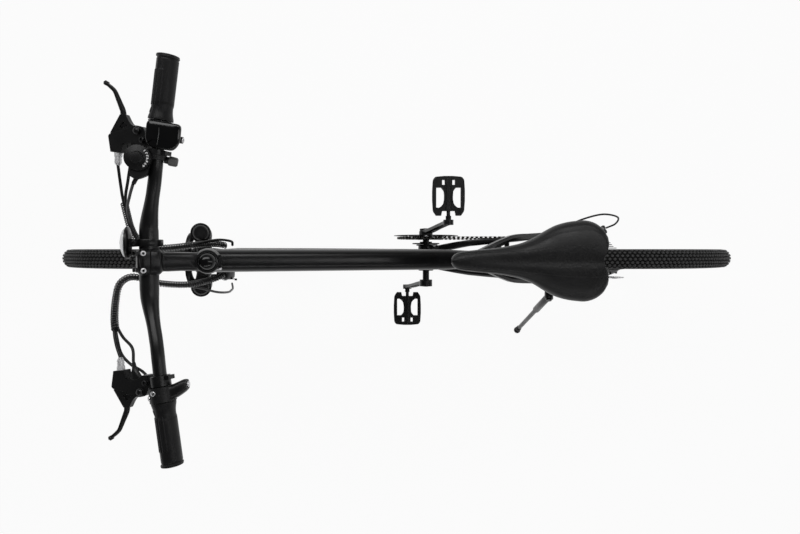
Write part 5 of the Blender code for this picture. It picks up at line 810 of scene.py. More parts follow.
def valve(name, axle):
    heights = (0.004, -0.012, -0.030, -0.038)
    outer, middle, inner, tip = (polar(axle, RIM_BED_R + height, VALVE_ANGLE) for height in heights)
    piece = Piece(name).rod(outer, middle, 0.0040, sides=16).rod(middle, inner, 0.0031, sides=16)
    return piece.rod(inner, tip, 0.0042, 0.0036, sides=16)


def front_hub():
    right = [(0.012, -0.008), (0.0128, -0.017), (0.016, -0.0218), (0.022, -0.0236), (0.022, -0.0284)]
    right += [(0.015, -0.031), (0.0098, -0.04), (0.0085, -0.0497), (0.0052, -0.0497)]
    left = [(0.0052, 0.0497), (0.0085, 0.0497), (0.0092, 0.048), (0.0165, 0.0373), (0.0165, 0.0333)]
    left += [(0.0205, 0.0333), (0.0218, 0.029), (0.022, 0.0284), (0.022, 0.0236), (0.016, 0.0218)]
    left += [(0.0128, 0.017), (0.012, 0.008)]
    return Piece("front_hub_fine").turned(left + right, axle_frame(FRONT_AXLE), 64, True)


def motor():
    """The geared motor's cast shell with its screwed cover and ribs."""
    r, flange = MOTOR_R, MOTOR_FLANGE
    cover = [(0.0066, 0.0637), (0.012, 0.0637), (0.0165, 0.0583), (0.0165, 0.0543), (0.024, 0.0543)]
    cover += [(0.0262, 0.0532), (0.044, 0.047), (0.056, 0.0432), (0.061, 0.0402), (r, 0.035)]
    drum = [(flange, 0.033), (flange, 0.0288), (r, 0.027), (r, -0.016), (flange, -0.0178), (flange, -0.022)]
    right = [(r - 0.003, -0.0238), (0.042, -0.024), (0.018, -0.024), (0.0168, -0.0245), (0.0168, -0.0545)]
    right += [(0.012, -0.0637), (0.0066, -0.0637)]
    piece = Piece("motor_shell").turned(cover + drum + right, axle_frame(REAR_AXLE), 96, True)
    for a in turns(9):
        screw = polar(REAR_AXLE, 0.0585, a, 0.04)
        piece.rod(screw, screw + ACROSS * 0.0045, 0.003, sides=12)
    for a in turns(12):
        a += math.tau / 24
        low, high = polar(REAR_AXLE, 0.03, a, 0.0513), polar(REAR_AXLE, 0.051, a, 0.0443)
        piece.rod(low, high, 0.0016, 0.0012, sides=8)
    return piece


def rotor(name, axle, y):
    """A stainless disc: a drilled braking ring on six swept arms."""
    place = axle_frame(axle + ACROSS * y)
    half = ROTOR_T / 2
    piece = Piece(name)
    for outer, inner, sides in ((0.08, 0.062, 96), (0.03, 0.0172, 64)):
        ring = [(outer, half), (outer, -half), (inner, -half), (inner, half)]
        piece.turned(ring, place, sides, True)
    for a in turns(6):
        path = [(0.0285, a), (0.04, a + 0.1), (0.052, a + 0.3), (0.063, a + 0.58)]
        left = [(r * math.cos(t - 0.005 / r), r * math.sin(t - 0.005 / r)) for r, t in path]
        right = [(r * math.cos(t + 0.005 / r), r * math.sin(t + 0.005 / r)) for r, t in reversed(path)]
        piece.plate(left + right, ROTOR_T * 0.96, place)
        bolt = place @ Vector((0.022 * math.cos(a), 0.022 * math.sin(a), half))
        piece.rod(bolt, bolt + ACROSS * 0.0022, 0.0040, 0.0034, sides=16)
    holes = Piece(name + "_holes")
    for i, a in enumerate(turns(36)):
        radius = (0.066, 0.071, 0.076)[i % 3]
        centre = place @ Vector((radius * math.cos(a), radius * math.sin(a), 0))
        holes.rod(centre - ACROSS * 0.004, centre + ACROSS * 0.004, 0.0021, sides=12)
    return drilled(made(name, piece.bm), made(holes.name, holes.bm))


def drilled(obj, cutter):
    """The object with the cutter's bodies taken away."""
    modifier = obj.modifiers.new("drill", "BOOLEAN")
    modifier.operation = "DIFFERENCE"
    modifier.solver = "EXACT"
    modifier.use_self = True
    modifier.object = cutter
    graph = bpy.context.evaluated_depsgraph_get()
    mesh = bpy.data.meshes.new_from_object(obj.evaluated_get(graph))
    obj.modifiers.clear()
    obj.data = mesh
    mesh.shade_smooth()
    mesh.set_sharp_from_angle(angle=SHARP_ANGLE)
    bpy.data.objects.remove(cutter, do_unlink=True)
    return obj


def add_wheels():
    front = ("front", FRONT_AXLE, ((0.026, 0.022), (-0.026, 0.022)))
    rear = ("rear", REAR_AXLE, ((0.0309, MOTOR_FLANGE), (-0.0199, MOTOR_FLANGE)))
    for which, axle, _ in (front, rear):
        body = which + "_wheel"
        casing(which + "_casing", axle).fix(body, "tyre_rubber", replaces=which + "_tyre")
        knobs(which + "_knobs", axle).fix(body, "tyre_rubber", KNOB_RUBBER_PAINTED_HIGHLIGHT)
        rim(which + "_rim_fine", axle).fix(body, slot_of(which + "_rim"), replaces=which + "_rim")
        valve(which + "_valve", axle).fix(body, "steel")
        disc = rotor(which + "_disc", axle, ROTOR_Y[which])
        fix(disc, body, "steel", replaces=which + "_rotor")
    front_hub().fix("front_wheel", slot_of("front_hub"), replaces="front_hub")
    motor().fix("rear_wheel", slot_of("hub_motor"), replaces="hub_motor")
    for which, axle, flanges in (front, rear):
        spokes(which + "_spokes", axle, flanges).fix(which + "_wheel", "dark_steel")
        nipples(which + "_nipples", axle, flanges).fix(which + "_wheel", "dark_steel")


# Chain: a closed loop round the chainring, a cog and the two pulleys of the derailleur

CHAIN_PITCH = 0.0127
CHAIN_Y = -0.0565
CHAINRING_T = 40
SMALL_COG_T = 14
PULLEY_T = 11
GUIDE_PULLEY = REAR_AXLE + Vector((-0.004, CHAIN_Y, -0.0685))
CAGE_L = 0.056
CAGE_START = math.radians(-52.0)
CAGE_PLAY = math.radians(24.0)
LINK_END_R = 0.0040
LINK_WAIST = 0.0031
LINK_T = 0.0008
ROLLER_R = 0.0038


def chain_circles(cage_angle):
    """(x, z, radius, turn) of the four toothed wheels; a turn of 1 is anticlockwise from the left."""
    wheels = [(BB, CHAINRING_T, 1), (REAR_AXLE, SMALL_COG_T, 1), (GUIDE_PULLEY, PULLEY_T, -1)]
    wheels.append((polar(GUIDE_PULLEY, CAGE_L, cage_angle), PULLEY_T, 1))
    return [(centre.x, centre.z, teeth * CHAIN_PITCH / math.tau, turn) for centre, teeth, turn in wheels]


def heading_between(a, b):
    """The direction of the chain's run from circle a to circle b."""
    away = Vector((b[0] - a[0], b[1] - a[1]))
    return math.atan2(away.y, away.x) - math.asin((b[3] * b[2] - a[3] * a[2]) / away.length)


def chain_route(cage_angle):
    """The loop as runs: ("line", start, end, length), ("arc", circle, start angle, length)."""
    circles = chain_circles(cage_angle)
    after = circles[1:] + circles[:1]
    headings = [heading_between(a, b) for a, b in zip(circles, after)]
    runs = []
    for a, b, heading, following in zip(circles, after, headings, headings[1:] + headings[:1]):
        left = Vector((-math.sin(heading), math.cos(heading)))
        start = Vector(a[:2]) - left * a[2] * a[3]
        end = Vector(b[:2]) - left * b[2] * b[3]
        runs.append(("line", start, end, (end - start).length))
        swept = (following - heading) * b[3] % math.tau
        runs.append(("arc", b, math.atan2(end.y - b[1], end.x - b[0]), swept * b[2]))
    return runs


def chain_length(cage_angle):
    return sum(run[-1] for run in chain_route(cage_angle))


def fitted_cage_angle():
    """The cage angle at which the chain is a whole, even number of links."""
    low, high = CAGE_START - CAGE_PLAY, CAGE_START + CAGE_PLAY
    links = 2 * round(chain_length(CAGE_START) / CHAIN_PITCH / 2)
    target = links * CHAIN_PITCH
    for _ in range(50):
        middle = (low + high) / 2
        if (chain_length(middle) - target) * (chain_length(high) - target) <= 0:
            low = middle
        else:
            high = middle
    return (low + high) / 2, links


CAGE_ANGLE, CHAIN_LINKS = fitted_cage_angle()
CHAIN_ROUTE = chain_route(CAGE_ANGLE)


def chain_point(distance):
    """A point on the chain's pitch line."""
    for run in CHAIN_ROUTE:
        if distance <= run[-1] or run is CHAIN_ROUTE[-1]:
            break
        distance -= run[-1]
    if run[0] == "line":
        flat = run[1] + (run[2] - run[1]).normalized() * distance
        return Vector((flat.x, CHAIN_Y, flat.y))
    x, z, radius, turn = run[1]
    return polar(Vector((x, CHAIN_Y, z)), radius, run[2] + turn * distance / radius)


def link_outline(length):
    """The side of a link plate: two round ends and a waist between them."""
    outline = []
    for end, first in ((length / 2, -60), (-length / 2, 120)):
        for step in range(7):
            a = math.radians(first + step * 20)
            outline.append((end + LINK_END_R * math.cos(a), LINK_END_R * math.sin(a)))
        outline.append((0.0, LINK_WAIST if end > 0 else -LINK_WAIST))
    return outline


def chain():
    """Each link's two plates, and a roller on its pin at every joint."""
    piece = Piece("chain_links")
    pins = [chain_point(k * CHAIN_PITCH) for k in range(CHAIN_LINKS)]
    for k, (pin, after) in enumerate(zip(pins, pins[1:] + pins[:1])):
        ahead = (after - pin).normalized()
        gap = 0.00175 if k % 2 else 0.00265
        place = axes((pin + after) / 2, ahead, ahead.cross(ACROSS), -ACROSS)
        outline = link_outline((after - pin).length)
        for side in (-1, 1):
            piece.plate(outline, LINK_T, place @ Matrix.Translation((0, 0, side * gap)))
        piece.rod(pin - ACROSS * 0.0013, pin + ACROSS * 0.0013, ROLLER_R, sides=14)
        piece.rod(pin - ACROSS * 0.0034, pin + ACROSS * 0.0034, 0.0018, sides=10)
    return piece


# Saddle

SEAT_ANGLE = math.radians(74.0)
SEAT_UP = Vector((-math.cos(SEAT_ANGLE), 0, math.sin(SEAT_ANGLE)))
SEAT_TUBE_L = 0.472
SEATPOST_OUT = 0.182
CLAMP_CENTRE = BB + SEAT_UP * (SEAT_TUBE_L + SEATPOST_OUT)
SADDLE_TOP_Z = CLAMP_CENTRE.z + 0.049
SADDLE_NOSE_AHEAD = 0.1498
SADDLE_NOSE_X = CLAMP_CENTRE.x + SADDLE_NOSE_AHEAD
SADDLE_L = 0.2855
SADDLE_W = 0.1506
# Distance behind the nose and half width, as shares of the saddle's length and width
SADDLE_OUTLINE = (
    (0.0, 0.06), (0.018, 0.155), (0.06, 0.225), (0.17, 0.278), (0.3, 0.326), (0.425, 0.412), (0.49, 0.492),
    (0.55, 0.6), (0.615, 0.752), (0.68, 0.88), (0.745, 0.955), (0.81, 0.992), (0.87, 1.0), (0.925, 0.935),
    (0.97, 0.8), (0.993, 0.64),
)


def saddle_stations(start=-1.0, end=1.0):
    """(share of the length, half width) at each station between two shares."""
    points = smooth_path([(share, width, 0) for share, width in SADDLE_OUTLINE], 5)
    return [(p.x, SADDLE_W / 2 * p.y) for p in points if start < p.x < end]


def saddle_x(share, y=None):
    """The place along the bicycle, with the notch in the middle of the tail where y is given."""
    notch = 0.0 if y is None else max(0.0, (share - 0.86) / 0.14) ** 2 * math.exp(-((y / 0.020) ** 2))
    return SADDLE_NOSE_X - SADDLE_L * share + 0.012 * notch


def saddle_levels(share, half):
    """Heights of the top line, of the edge and of the hollow underside."""
    nose = -0.010 * max(0.0, 1 - share / 0.16) ** 2
    tail = 0.015 * max(0.0, (share - 0.45) / 0.55) ** 1.4
    top = SADDLE_TOP_Z - 0.012 + nose + tail
    edge = top - min(0.034, 0.016 + half * 0.36)
    return top, edge, min(edge + 0.004, top - 0.012)


def saddle_surface(share, half, angle):
    """A point on the padding: a share of the length, and an angle from one edge over the top."""
    top, edge, _ = saddle_levels(share, half)
    y = half * math.cos(angle)
    z = edge + (top - edge) * max(0.0, math.sin(angle)) ** 0.62
    channel = 0.0035 * math.exp(-((y / 0.010) ** 2)) * min(1.0, share * 3)
    seam = 0.0009 * math.exp(-((abs(y) / half - 0.80) / 0.035) ** 2)
    return Vector((saddle_x(share, y), y, z - channel - seam))


def saddle_cover():
    """The padded top: crowned, waisted, with a channel along its middle and a seam round its edge."""
    rings = []
    for share, half in saddle_stations():
        _, edge, floor = saddle_levels(share, half)
        ring = [saddle_surface(share, half, math.pi * i / 44) for i in range(45)]
        ring.append(Vector((saddle_x(share, half), -half * 0.97, edge - 0.0012)))
        for i in range(11):
            across = i / 5 - 1
            y = half * 0.90 * across
            ring.append(Vector((saddle_x(share, y), y, floor + 0.006 * (1 - across**2))))
        ring.append(Vector((saddle_x(share, half), half * 0.97, edge - 0.0012)))
        rings.append(ring)
    cover = made("saddle_cover", Piece("saddle_cover").loft(rings).bm)
    cover.data.set_sharp_from_angle(angle=math.radians(62))
    return cover


def band_half(share):
    """Half the width of the dimpled band down the saddle's middle."""
    return 0.0165 + 0.012 * max(0.0, min(1.0, (share - 0.35) / 0.4))


def dimple_middle(cover):
    """The band along the middle and the nose takes the dimpled vinyl."""
    cover.data.materials.append(DIMPLED_VINYL.material)
    upright = STANCE.inverted()
    for face in cover.data.polygons:
        at = upright @ face.center
        share = (SADDLE_NOSE_X - at.x) / SADDLE_L
        low = saddle_levels(share, 0.0)[0] - 0.012
        if abs(at.y) < band_half(share) and at.z > low and share < 0.93:
            face.material_index = 1


def saddle_trim():
    """The two welded lines between the dimpled band and the smooth wings."""
    piece = Piece("saddle_seams")
    for side in (-1, 1):
        path = []
        for share, half in saddle_stations(0.04, 0.95):
            angle = math.acos(min(0.86, band_half(share) / half))
            path.append(saddle_surface(share, half, angle if side > 0 else math.pi - angle))
        piece.tube(path[::2], 0.0004, sides=8, steps=4)
    return piece


def saddle_shell():
    """The moulded shell under the padding."""
    rings = []
    for share, wide in saddle_stations(0.03, 0.96):
        half = wide * 0.86
        floor = saddle_levels(share, wide)[2]
        ring = []
        for sign, lift in ((1, 0.0012), (-1, -0.0011)):
            for i in range(13):
                across = sign * (i / 6 - 1)
                arch = 0.006 * (1 - (across * 0.95) ** 2)
                ring.append(Vector((saddle_x(share), half * across, floor + arch + lift)))
        rings.append(ring)
    return Piece("saddle_shell").loft(rings)


def add_saddle():
    cover = fix(saddle_cover(), "seat", "saddle_vinyl", replaces="saddle")
    dimple_middle(cover)
    saddle_trim().fix("seat", "moulded_black")
    saddle_shell().fix("seat", "moulded_black")


# Steering geometry shared by the cockpit's pieces

GAP = 0.0003
HEAD_ANGLE = math.radians(72.5)
STEER_UP = Vector((-math.cos(HEAD_ANGLE), 0, math.sin(HEAD_ANGLE)))
STEER_FORWARD = Vector((math.sin(HEAD_ANGLE), 0, math.cos(HEAD_ANGLE)))
RAKE = 0.030
STEER_FOOT = FRONT_AXLE - STEER_FORWARD * RAKE
CROWN_OFFSET = 0.017
CROWN_TOP = 0.479
SEAL_H = 0.352
LEG_SPACING = 0.1134
LOWER_CUP_T = 0.013
HEAD_TUBE_L = 0.130
UPPER_CUP_T = 0.020
STEM_CLAMP_H = 0.048
STEM_L = 0.097
STEM_LOW = CROWN_TOP + LOWER_CUP_T + HEAD_TUBE_L + UPPER_CUP_T + 2 * GAP
STEM_HIGH = STEM_LOW + STEM_CLAMP_H
STEM_RISE = math.radians(11.0)
STEM_OUT = STEER_FORWARD * math.cos(STEM_RISE) + STEER_UP * math.sin(STEM_RISE)
STEM_UP = STEER_UP * math.cos(STEM_RISE) - STEER_FORWARD * math.sin(STEM_RISE)
BAR_RISE = 0.0305
BAR_SETBACK = 0.0260
BAR_BEND_START = 0.050
BAR_BEND_END = 0.165
BAR_SWEEP = math.radians(9.0)
BAR_UPSWEEP = math.radians(4.0)
GRIP_START = 0.2345
GRIP_L = 0.104
GRIP_R = 0.0168
LEVER_DROP = math.radians(18.0)
LEVER_PIVOT_Y = 0.2125
LEVER_PIVOT_X = 0.0385
DIAL = (0.0245, -0.0050, 0.0185)
SHIFTER_Y = 0.1742
SHIFTER_TILT = math.radians(-10.0)
HOUSING_Y = 0.2110


def steer_point(height, forward=0.0, y=0.0):
    """A point by its height up the steering axis and its distance in front of it."""
    return STEER_FOOT + STEER_UP * height + STEER_FORWARD * forward + ACROSS * y


BAR_CENTRE = steer_point((STEM_LOW + STEM_HIGH) / 2) + STEM_OUT * STEM_L


def bar_point(y):
    """The bar's centre line at the signed distance y from its middle."""
    out = abs(y)
    t = min(1.0, max(0.0, (out - BAR_BEND_START) / (BAR_BEND_END - BAR_BEND_START)))
    bend = t * t * (3 - 2 * t)
    past = out - BAR_BEND_END
    run = past if past > 0.02 else max(0.0, past + 0.02) ** 2 / 0.08
    drop = BAR_SETBACK * bend + run * math.tan(BAR_SWEEP)
    return BAR_CENTRE + Vector((-drop, y, BAR_RISE * bend + run * math.tan(BAR_UPSWEEP)))


def hand_frame(side, y, drop=0.0):
    """A frame on the bar at y from its middle: X forward and down by the drop, Y outward and Z up."""
    outward = (bar_point(side * (y + 0.002)) - bar_point(side * (y - 0.002))).normalized()
    ahead = Vector((math.cos(drop), 0, -math.sin(drop)))
    ahead = (ahead - outward * ahead.dot(outward)).normalized()
    return axes(bar_point(side * y), ahead, outward, ahead.cross(outward) * side)


SHIFTER = hand_frame(-1, SHIFTER_Y, SHIFTER_TILT)
HOUSING = hand_frame(-1, HOUSING_Y)
# Turns a hand frame so that its Z runs along the bar
ROUND_BAR = Matrix.Rotation(-math.pi / 2, 4, "X")


def lever_point(side, out, ahead, up=0.0):
    return hand_frame(side, LEVER_PIVOT_Y, LEVER_DROP) @ Vector((ahead, out, up))


# Grips

GRIP_HALF = GRIP_L / 2 / math.cos(BAR_SWEEP)
GRIP_STEPS = 110
GRIP_SIDES = 120


def grip_relief(turn, height):
    """How far the rubber stands above the core: a raised palm panel, and ribs along the finger side."""
    share = height / GRIP_HALF
    if share > 0.93 or share < -0.80:
        return 0.0
    palm = math.cos(turn - 2.3)
    panel = math.tanh((palm - 0.10) * 14) * math.tanh((share + 0.62 - 0.12 * palm) * 18)
    rise = 0.0009 * max(0.0, panel)
    if math.cos(turn - 0.5) > 0.35 and -0.58 < share < 0.52:
        rise += 0.0008 * (0.5 + 0.5 * math.tanh(2.5 * math.sin(turn * 20)))
    return rise


def grip_ring(place, height, radius, relief=False):
    ring = []
    for turn in turns(GRIP_SIDES):
        r = radius + (grip_relief(turn, height) if relief else 0.0)
        ring.append(place @ polar(Vector(), r, turn, height))
    return ring


def grip(side):
    """A moulded grip: flared collar, ribbed hand area and a rounded end cap."""
    place = hand_frame(side, GRIP_START + GRIP_L / 2)
    rings = [grip_ring(place, height, 0.0113) for height in (GRIP_HALF - 0.006, -GRIP_HALF)]
    for i in range(GRIP_STEPS + 1):
        height = -GRIP_HALF + 2 * GRIP_HALF * i / GRIP_STEPS
        flare = 0.0030 * math.exp(-(((height + GRIP_HALF) / 0.0100) ** 2))
        flare += 0.0013 * math.exp(-(((GRIP_HALF - 0.0022 - height) / 0.0024) ** 4))
        flare -= 0.0010 * math.exp(-(((GRIP_HALF - 0.0058 - height) / 0.0009) ** 2))
        rings.append(grip_ring(place, height, GRIP_R + 0.0002 + flare, relief=True))
    for lift, radius in ((0.0009, 0.0150), (0.0015, 0.0110), (0.0016, 0.0035)):
        rings.append(grip_ring(place, GRIP_HALF + lift, radius))
    return Piece("grip_" + ("left" if side > 0 else "right")).loft(rings)


def add_grips():
    grip(1).fix("steering", "grip_rubber", replaces="grip_left")
    grip(-1).fix("throttle_grip", "grip_rubber", replaces="throttle_grip")


# Cables

WRAP_R = 0.0056
WRAP_T = 0.0013
WRAP_PITCH = 0.0050
CABLE_R = 0.0025
LEFT_MAIN = (
    (0.48, 0.119, 1.006), (0.489, 0.098, 0.99), (0.496, 0.068, 0.97), (0.496, 0.042, 0.955), (0.486, 0.03, 0.935),
    (0.47, 0.034, 0.915), (0.445, 0.044, 0.895), (0.405, 0.048, 0.855), (0.37, 0.0385, 0.812), (0.356, 0.03, 0.796),
)
LEFT_TAIL = (
    (0.425, 0.047, 0.874), (0.397, 0.056, 0.83), (0.378, 0.069, 0.77), (0.376, 0.074, 0.7), (0.398, 0.076, 0.6),
    (0.424, 0.077, 0.5), (0.448, 0.069, 0.425),
)
RIGHT_MAIN = (
    (0.4655, -0.101, 0.997), (0.469, -0.082, 0.98), (0.472, -0.06, 0.96), (0.47, -0.04, 0.938),
    (0.455, -0.026, 0.918), (0.428, -0.025, 0.895), (0.385, -0.032, 0.85), (0.362, -0.033, 0.815),
    (0.35, -0.03, 0.799),
)
RIGHT_LOOP = (
    (0.4, -0.03, 0.868), (0.37, -0.037, 0.86), (0.345, -0.041, 0.856), (0.326, -0.038, 0.84), (0.33, -0.031, 0.818),
)
REAR_GEAR = (
    (-0.415, -0.0706, 0.478), (-0.448, -0.084, 0.462), (-0.496, -0.104, 0.448), (-0.556, -0.118, 0.425),
    (-0.606, -0.112, 0.395), (-0.613, -0.096, 0.358), (-0.596, -0.085, 0.33),
)
# From the brake levers, their switches, the shifter and the switch pod to the bundles
SHORT_LEFT = (
    (lever_point(1, -0.0612, 0.0774), (0.474, 0.145, 1.015), (0.481, 0.124, 1.008), (0.486, 0.105, 0.996)),
    (lever_point(1, -0.0507, 0.0510), (0.443, 0.148, 1.023), (0.464, 0.13, 1.013), (0.485, 0.108, 0.997)),
    (
        hand_frame(1, 0.1985) @ Vector((0.0175, 0.0, -0.0060)), (0.429, 0.19, 1.016), (0.45, 0.178, 1.014),
        (0.467, 0.16, 1.012), (0.476, 0.134, 1.008), (0.486, 0.1065, 0.9965),
    ),
)
SHORT_RIGHT = (
    (lever_point(-1, -0.0614, 0.0774), (0.465, -0.135, 1.012), (0.468, -0.102, 0.994), (0.473, -0.052, 0.952)),
    (lever_point(-1, -0.0509, 0.0510), (0.45, -0.14, 1.016), (0.463, -0.102, 0.998), (0.47, -0.053, 0.954)),
    (SHIFTER @ Vector((0.0312, -0.0488, 0.0080)), (0.44, -0.112, 1.032), (0.459, -0.09, 1.0), (0.47, -0.056, 0.957)),
)


def cables(name, *routes):
    piece = Piece(name)
    for route in routes:
        piece.tube(route, CABLE_R, sides=14)
    return piece


def add_bundle(side, route, body):
    """Three cables in a spiral sleeve."""
    piece = Piece(side + "_bundle")
    for a in turns(3):
        shift = Vector((0.6 * math.sin(a), 0.8 * math.cos(a), 0.8 * math.sin(a))) * 0.0022
        piece.tube([Vector(p) + shift for p in route], 0.0019, sides=10)
    piece.fix(body, "moulded_black", replaces="cable_bundle_" + side)
    sleeve = Piece(side + "_sleeve").loft(wound_rings(route, WRAP_R, WRAP_T, WRAP_PITCH))
    sleeve.fix(body, "moulded_black", SLEEVE)


def between(first, second, start, end):
    """Two bodies and a piece's two ends, leaned with the bicycle; fix() joins such a piece to neither body."""
    return first, second, STANCE @ Vector(start), STANCE @ Vector(end)


def add_cables():
    cables("controls_left_cables", *SHORT_LEFT).fix("steering", "moulded_black")
    cables("controls_right_cables", *SHORT_RIGHT).fix("steering", "moulded_black")
    add_bundle("left", LEFT_MAIN, between("bike_frame", "steering", LEFT_MAIN[-1], LEFT_MAIN[5]))
    add_bundle("right", RIGHT_MAIN, between("bike_frame", "steering", RIGHT_MAIN[-1], RIGHT_MAIN[6]))
    loop = between("bike_frame", "steering", RIGHT_LOOP[-1], RIGHT_LOOP[0])
    cables("gear_and_throttle_cables", RIGHT_LOOP).fix(loop, "moulded_black")
    tail = between("steering", "fork_lowers", LEFT_TAIL[2], LEFT_TAIL[-1])
    cables("front_brake_cable", LEFT_TAIL).fix(tail, "moulded_black")
    cables("rear_gear_cable", REAR_GEAR).fix("bike_frame", "moulded_black", replaces="shift_cable_rear")


# Bolts and small fittings

HEX_R = 0.55
BOLT_PROFILE = ((1.0, 0.0), (1.0, 0.45), (0.93, 0.76), (0.80, 0.93), (0.64, 1.0))


def bolts(name, body, spots, slot="steel"):
    """Round bolt heads, each (centre, axis, radius, height), with a six-sided socket in the end."""
    piece = Piece(name)
    for centre, axis, radius, height in spots:
        place = along(centre, axis)
        rings = [circle(place, radius * share, height * lift, 24) for share, lift in BOLT_PROFILE]
        for depth in (height, height * 0.35):
            ring = []
            for a in turns(24):
                wedge = (a + math.pi / 6) % (math.pi / 3) - math.pi / 6
                r = radius * HEX_R * math.cos(math.pi / 6) / math.cos(wedge)
                ring.append(place @ Vector((r * math.cos(a), r * math.sin(a), depth)))
            rings.append(ring)
        piece.loft(rings)
    piece.fix(body, slot, BOLT_ZINC if slot == "steel" else None)


def add_stem_bolts():
    place = axes(BAR_CENTRE, STEM_OUT, ACROSS, STEM_UP)
    top = [(place @ Vector((0.0110, y, 0.0212)), STEM_UP, 0.0046, 0.0034) for y in (-0.0145, 0.0145)]
    bolts("faceplate_top_bolts", "steering", top)
    low = [(place @ Vector((0.0218, y, -0.0182)), STEM_OUT, 0.0044, 0.0036) for y in (-0.014, 0.014)]
    bolts("faceplate_low_bolts", "steering", low, "anodised_black")
    heights = (STEM_LOW + 0.012, STEM_HIGH - 0.012)
    clamp = [(steer_point(height, -0.0195, 0.0115), ACROSS, 0.0046, 0.0040) for height in heights]
    bolts("stem_clamp_bolts", "steering", clamp)


def add_top_cap():
    """A glossy dome on a stepped ring."""
    foot = along(steer_point(STEM_HIGH + GAP), STEER_UP)
    dome = [(0.0146 * math.sin(a), 0.0030 + 0.0108 * math.cos(a)) for a in turns(56)[:15]]
    step = [(0.014, 0.0), (0.0172, 0.0), (0.0174, 0.0014), (0.0168, 0.0026), (0.0152, 0.003), (0.014, 0.0026)]
    cap = Piece("top_cap_dome").turned(dome + [(0.0146, 0.001), (0.0, 0.001)], foot, 96)
    cap.turned(step, foot, 96, True).fix("steering", "drive_side_housing", replaces="top_cap")


LAMP = Vector((BAR_CENTRE.x, -0.0325, BAR_CENTRE.z))
LAMP_R = 0.0275
LAMP_BACK = 0.0300
LAMP_FRONT = 0.0465
LAMP_TILT = math.radians(-12.0)
LAMP_HEIGHT = 0.75
# (radius, distance in front of the case's back, or of the lens's front)
LAMP_CASE = (
    (0.0, -0.001), (0.012, -0.001), (0.018, 0.0), (LAMP_R - 0.0022, 0.0012), (LAMP_R, 0.003), (LAMP_R, 0.0062),
    (LAMP_R - 0.0009, 0.007), (LAMP_R - 0.0018, 0.0066), (LAMP_R - 0.003, 0.003), (0.0, 0.0026),
)
LAMP_BOWL = ((0.0, 0.0036), (0.01, 0.0038), (0.019, 0.0058), (0.024, 0.0092), (0.024, 0.0032), (0.0, 0.003))
LENS_FRONT = ((0.0, 0.0), (0.009, -0.0008), (0.017, -0.003), (0.0228, -0.0058), (LAMP_R - 0.003, -0.0076))
LENS_EDGE = ((LAMP_R - 0.0034, 0.0056), (LAMP_R - 0.006, 0.0098))
LENS_BACK = ((0.016, -0.0044), (0.0, -0.0016))
LAMP_BAND = (
    (0.0164, -0.0058), (0.0186, -0.0058), (0.019, -0.0048), (0.019, 0.0048), (0.0186, 0.0058), (0.0164, 0.0058),
)


def moved(profile, height):
    return [(r, h + height) for r, h in profile]


def add_headlight():
    """An oval lamp on a short arm, with its lens in front and a screw through the arm's fork."""
    swing = Matrix.Translation(LAMP) @ Matrix.Rotation(LAMP_TILT, 4, "Y") @ Matrix.Translation(-LAMP)
    ahead = swing @ along(LAMP, (1, 0, 0)) @ Matrix.Diagonal((LAMP_HEIGHT, 1, 1, 1))
    reach = LAMP_BACK + 0.0005
    arm = [(0.0150, -0.0060), (reach, -0.0072), (reach, 0.0072), (0.0150, 0.0060)]
    case = Piece("lamp_case").turned(moved(LAMP_CASE, LAMP_BACK), ahead, 96)
    case.plate(arm, 0.0180, swing @ Matrix.Translation(LAMP))
    case.turned(LAMP_BAND, along(LAMP, ACROSS), 48, True)
    lug = Matrix.Translation(LAMP + Vector((-0.0175, 0, 0)))
    case.block((0, 0, 0), (0.0110, 0.0116, 0.0120), lug, 0.0012)
    case.fix("steering", slot_of("headlight_body"), replaces="headlight_body")
    screw = swing @ (LAMP + Vector((0.0225, 0, 0.0088)))
    upward = swing.to_3x3() @ Vector((0, 0, 1))
    bolts("lamp_arm_screw", "steering", [(screw, upward, 0.0046, 0.0028)], "anodised_black")
    Piece("lamp_reflector").turned(moved(LAMP_BOWL, LAMP_BACK), ahead, 96).fix("steering", "steel", REFLECTOR)
    shape = moved(LENS_FRONT, LAMP_FRONT) + moved(LENS_EDGE, LAMP_BACK) + moved(LENS_BACK, LAMP_FRONT)
    Piece("lamp_lens_fine").turned(shape, ahead, 96).fix("steering", "lamp_lens", replaces="headlight_lens")


PIVOT_SCREW = ((0.0, 0.0033), (0.003, 0.003), (0.0052, 0.0018), (0.0064, 0.0), (0.0, 0.0))


def add_barrel(name, side):
    """The brake cable's knurled adjuster."""
    start = lever_point(side, -0.0405, 0.0795)
    end = lever_point(side, -0.0590, 0.0776)
    axis = end - start
    piece = Piece(name)
    for i in range(9):
        low = start + axis * (i / 9)
        radius = 0.0066 if i < 3 else 0.0054 + 0.0005 * (i % 2)
        piece.rod(low, low + axis * 0.113, radius, sides=28)
    piece.rod(end - axis * 0.02, end + axis * 0.16, 0.0042, 0.0036, sides=24)
    piece.fix("steering", "steel", BOLT_ZINC)


def add_boot(name, side):
    """The ribbed rubber boot of the brake switch's cable."""
    start = lever_point(side, -0.0290, 0.0503)
    end = lever_point(side, -0.0512, 0.0510)
    piece = Piece(name)
    for i in range(7):
        size = 0.0052 - 0.0003 * i
        spots = [start.lerp(end, (i + shift) / 7) for shift in (0, 0.55, 0.5, 1.02)]
        piece.rod(spots[0], spots[1], size, size * 0.92, sides=24)
        piece.rod(spots[2], spots[3], size * 0.72, sides=24)
    piece.fix("steering", "grip_rubber")


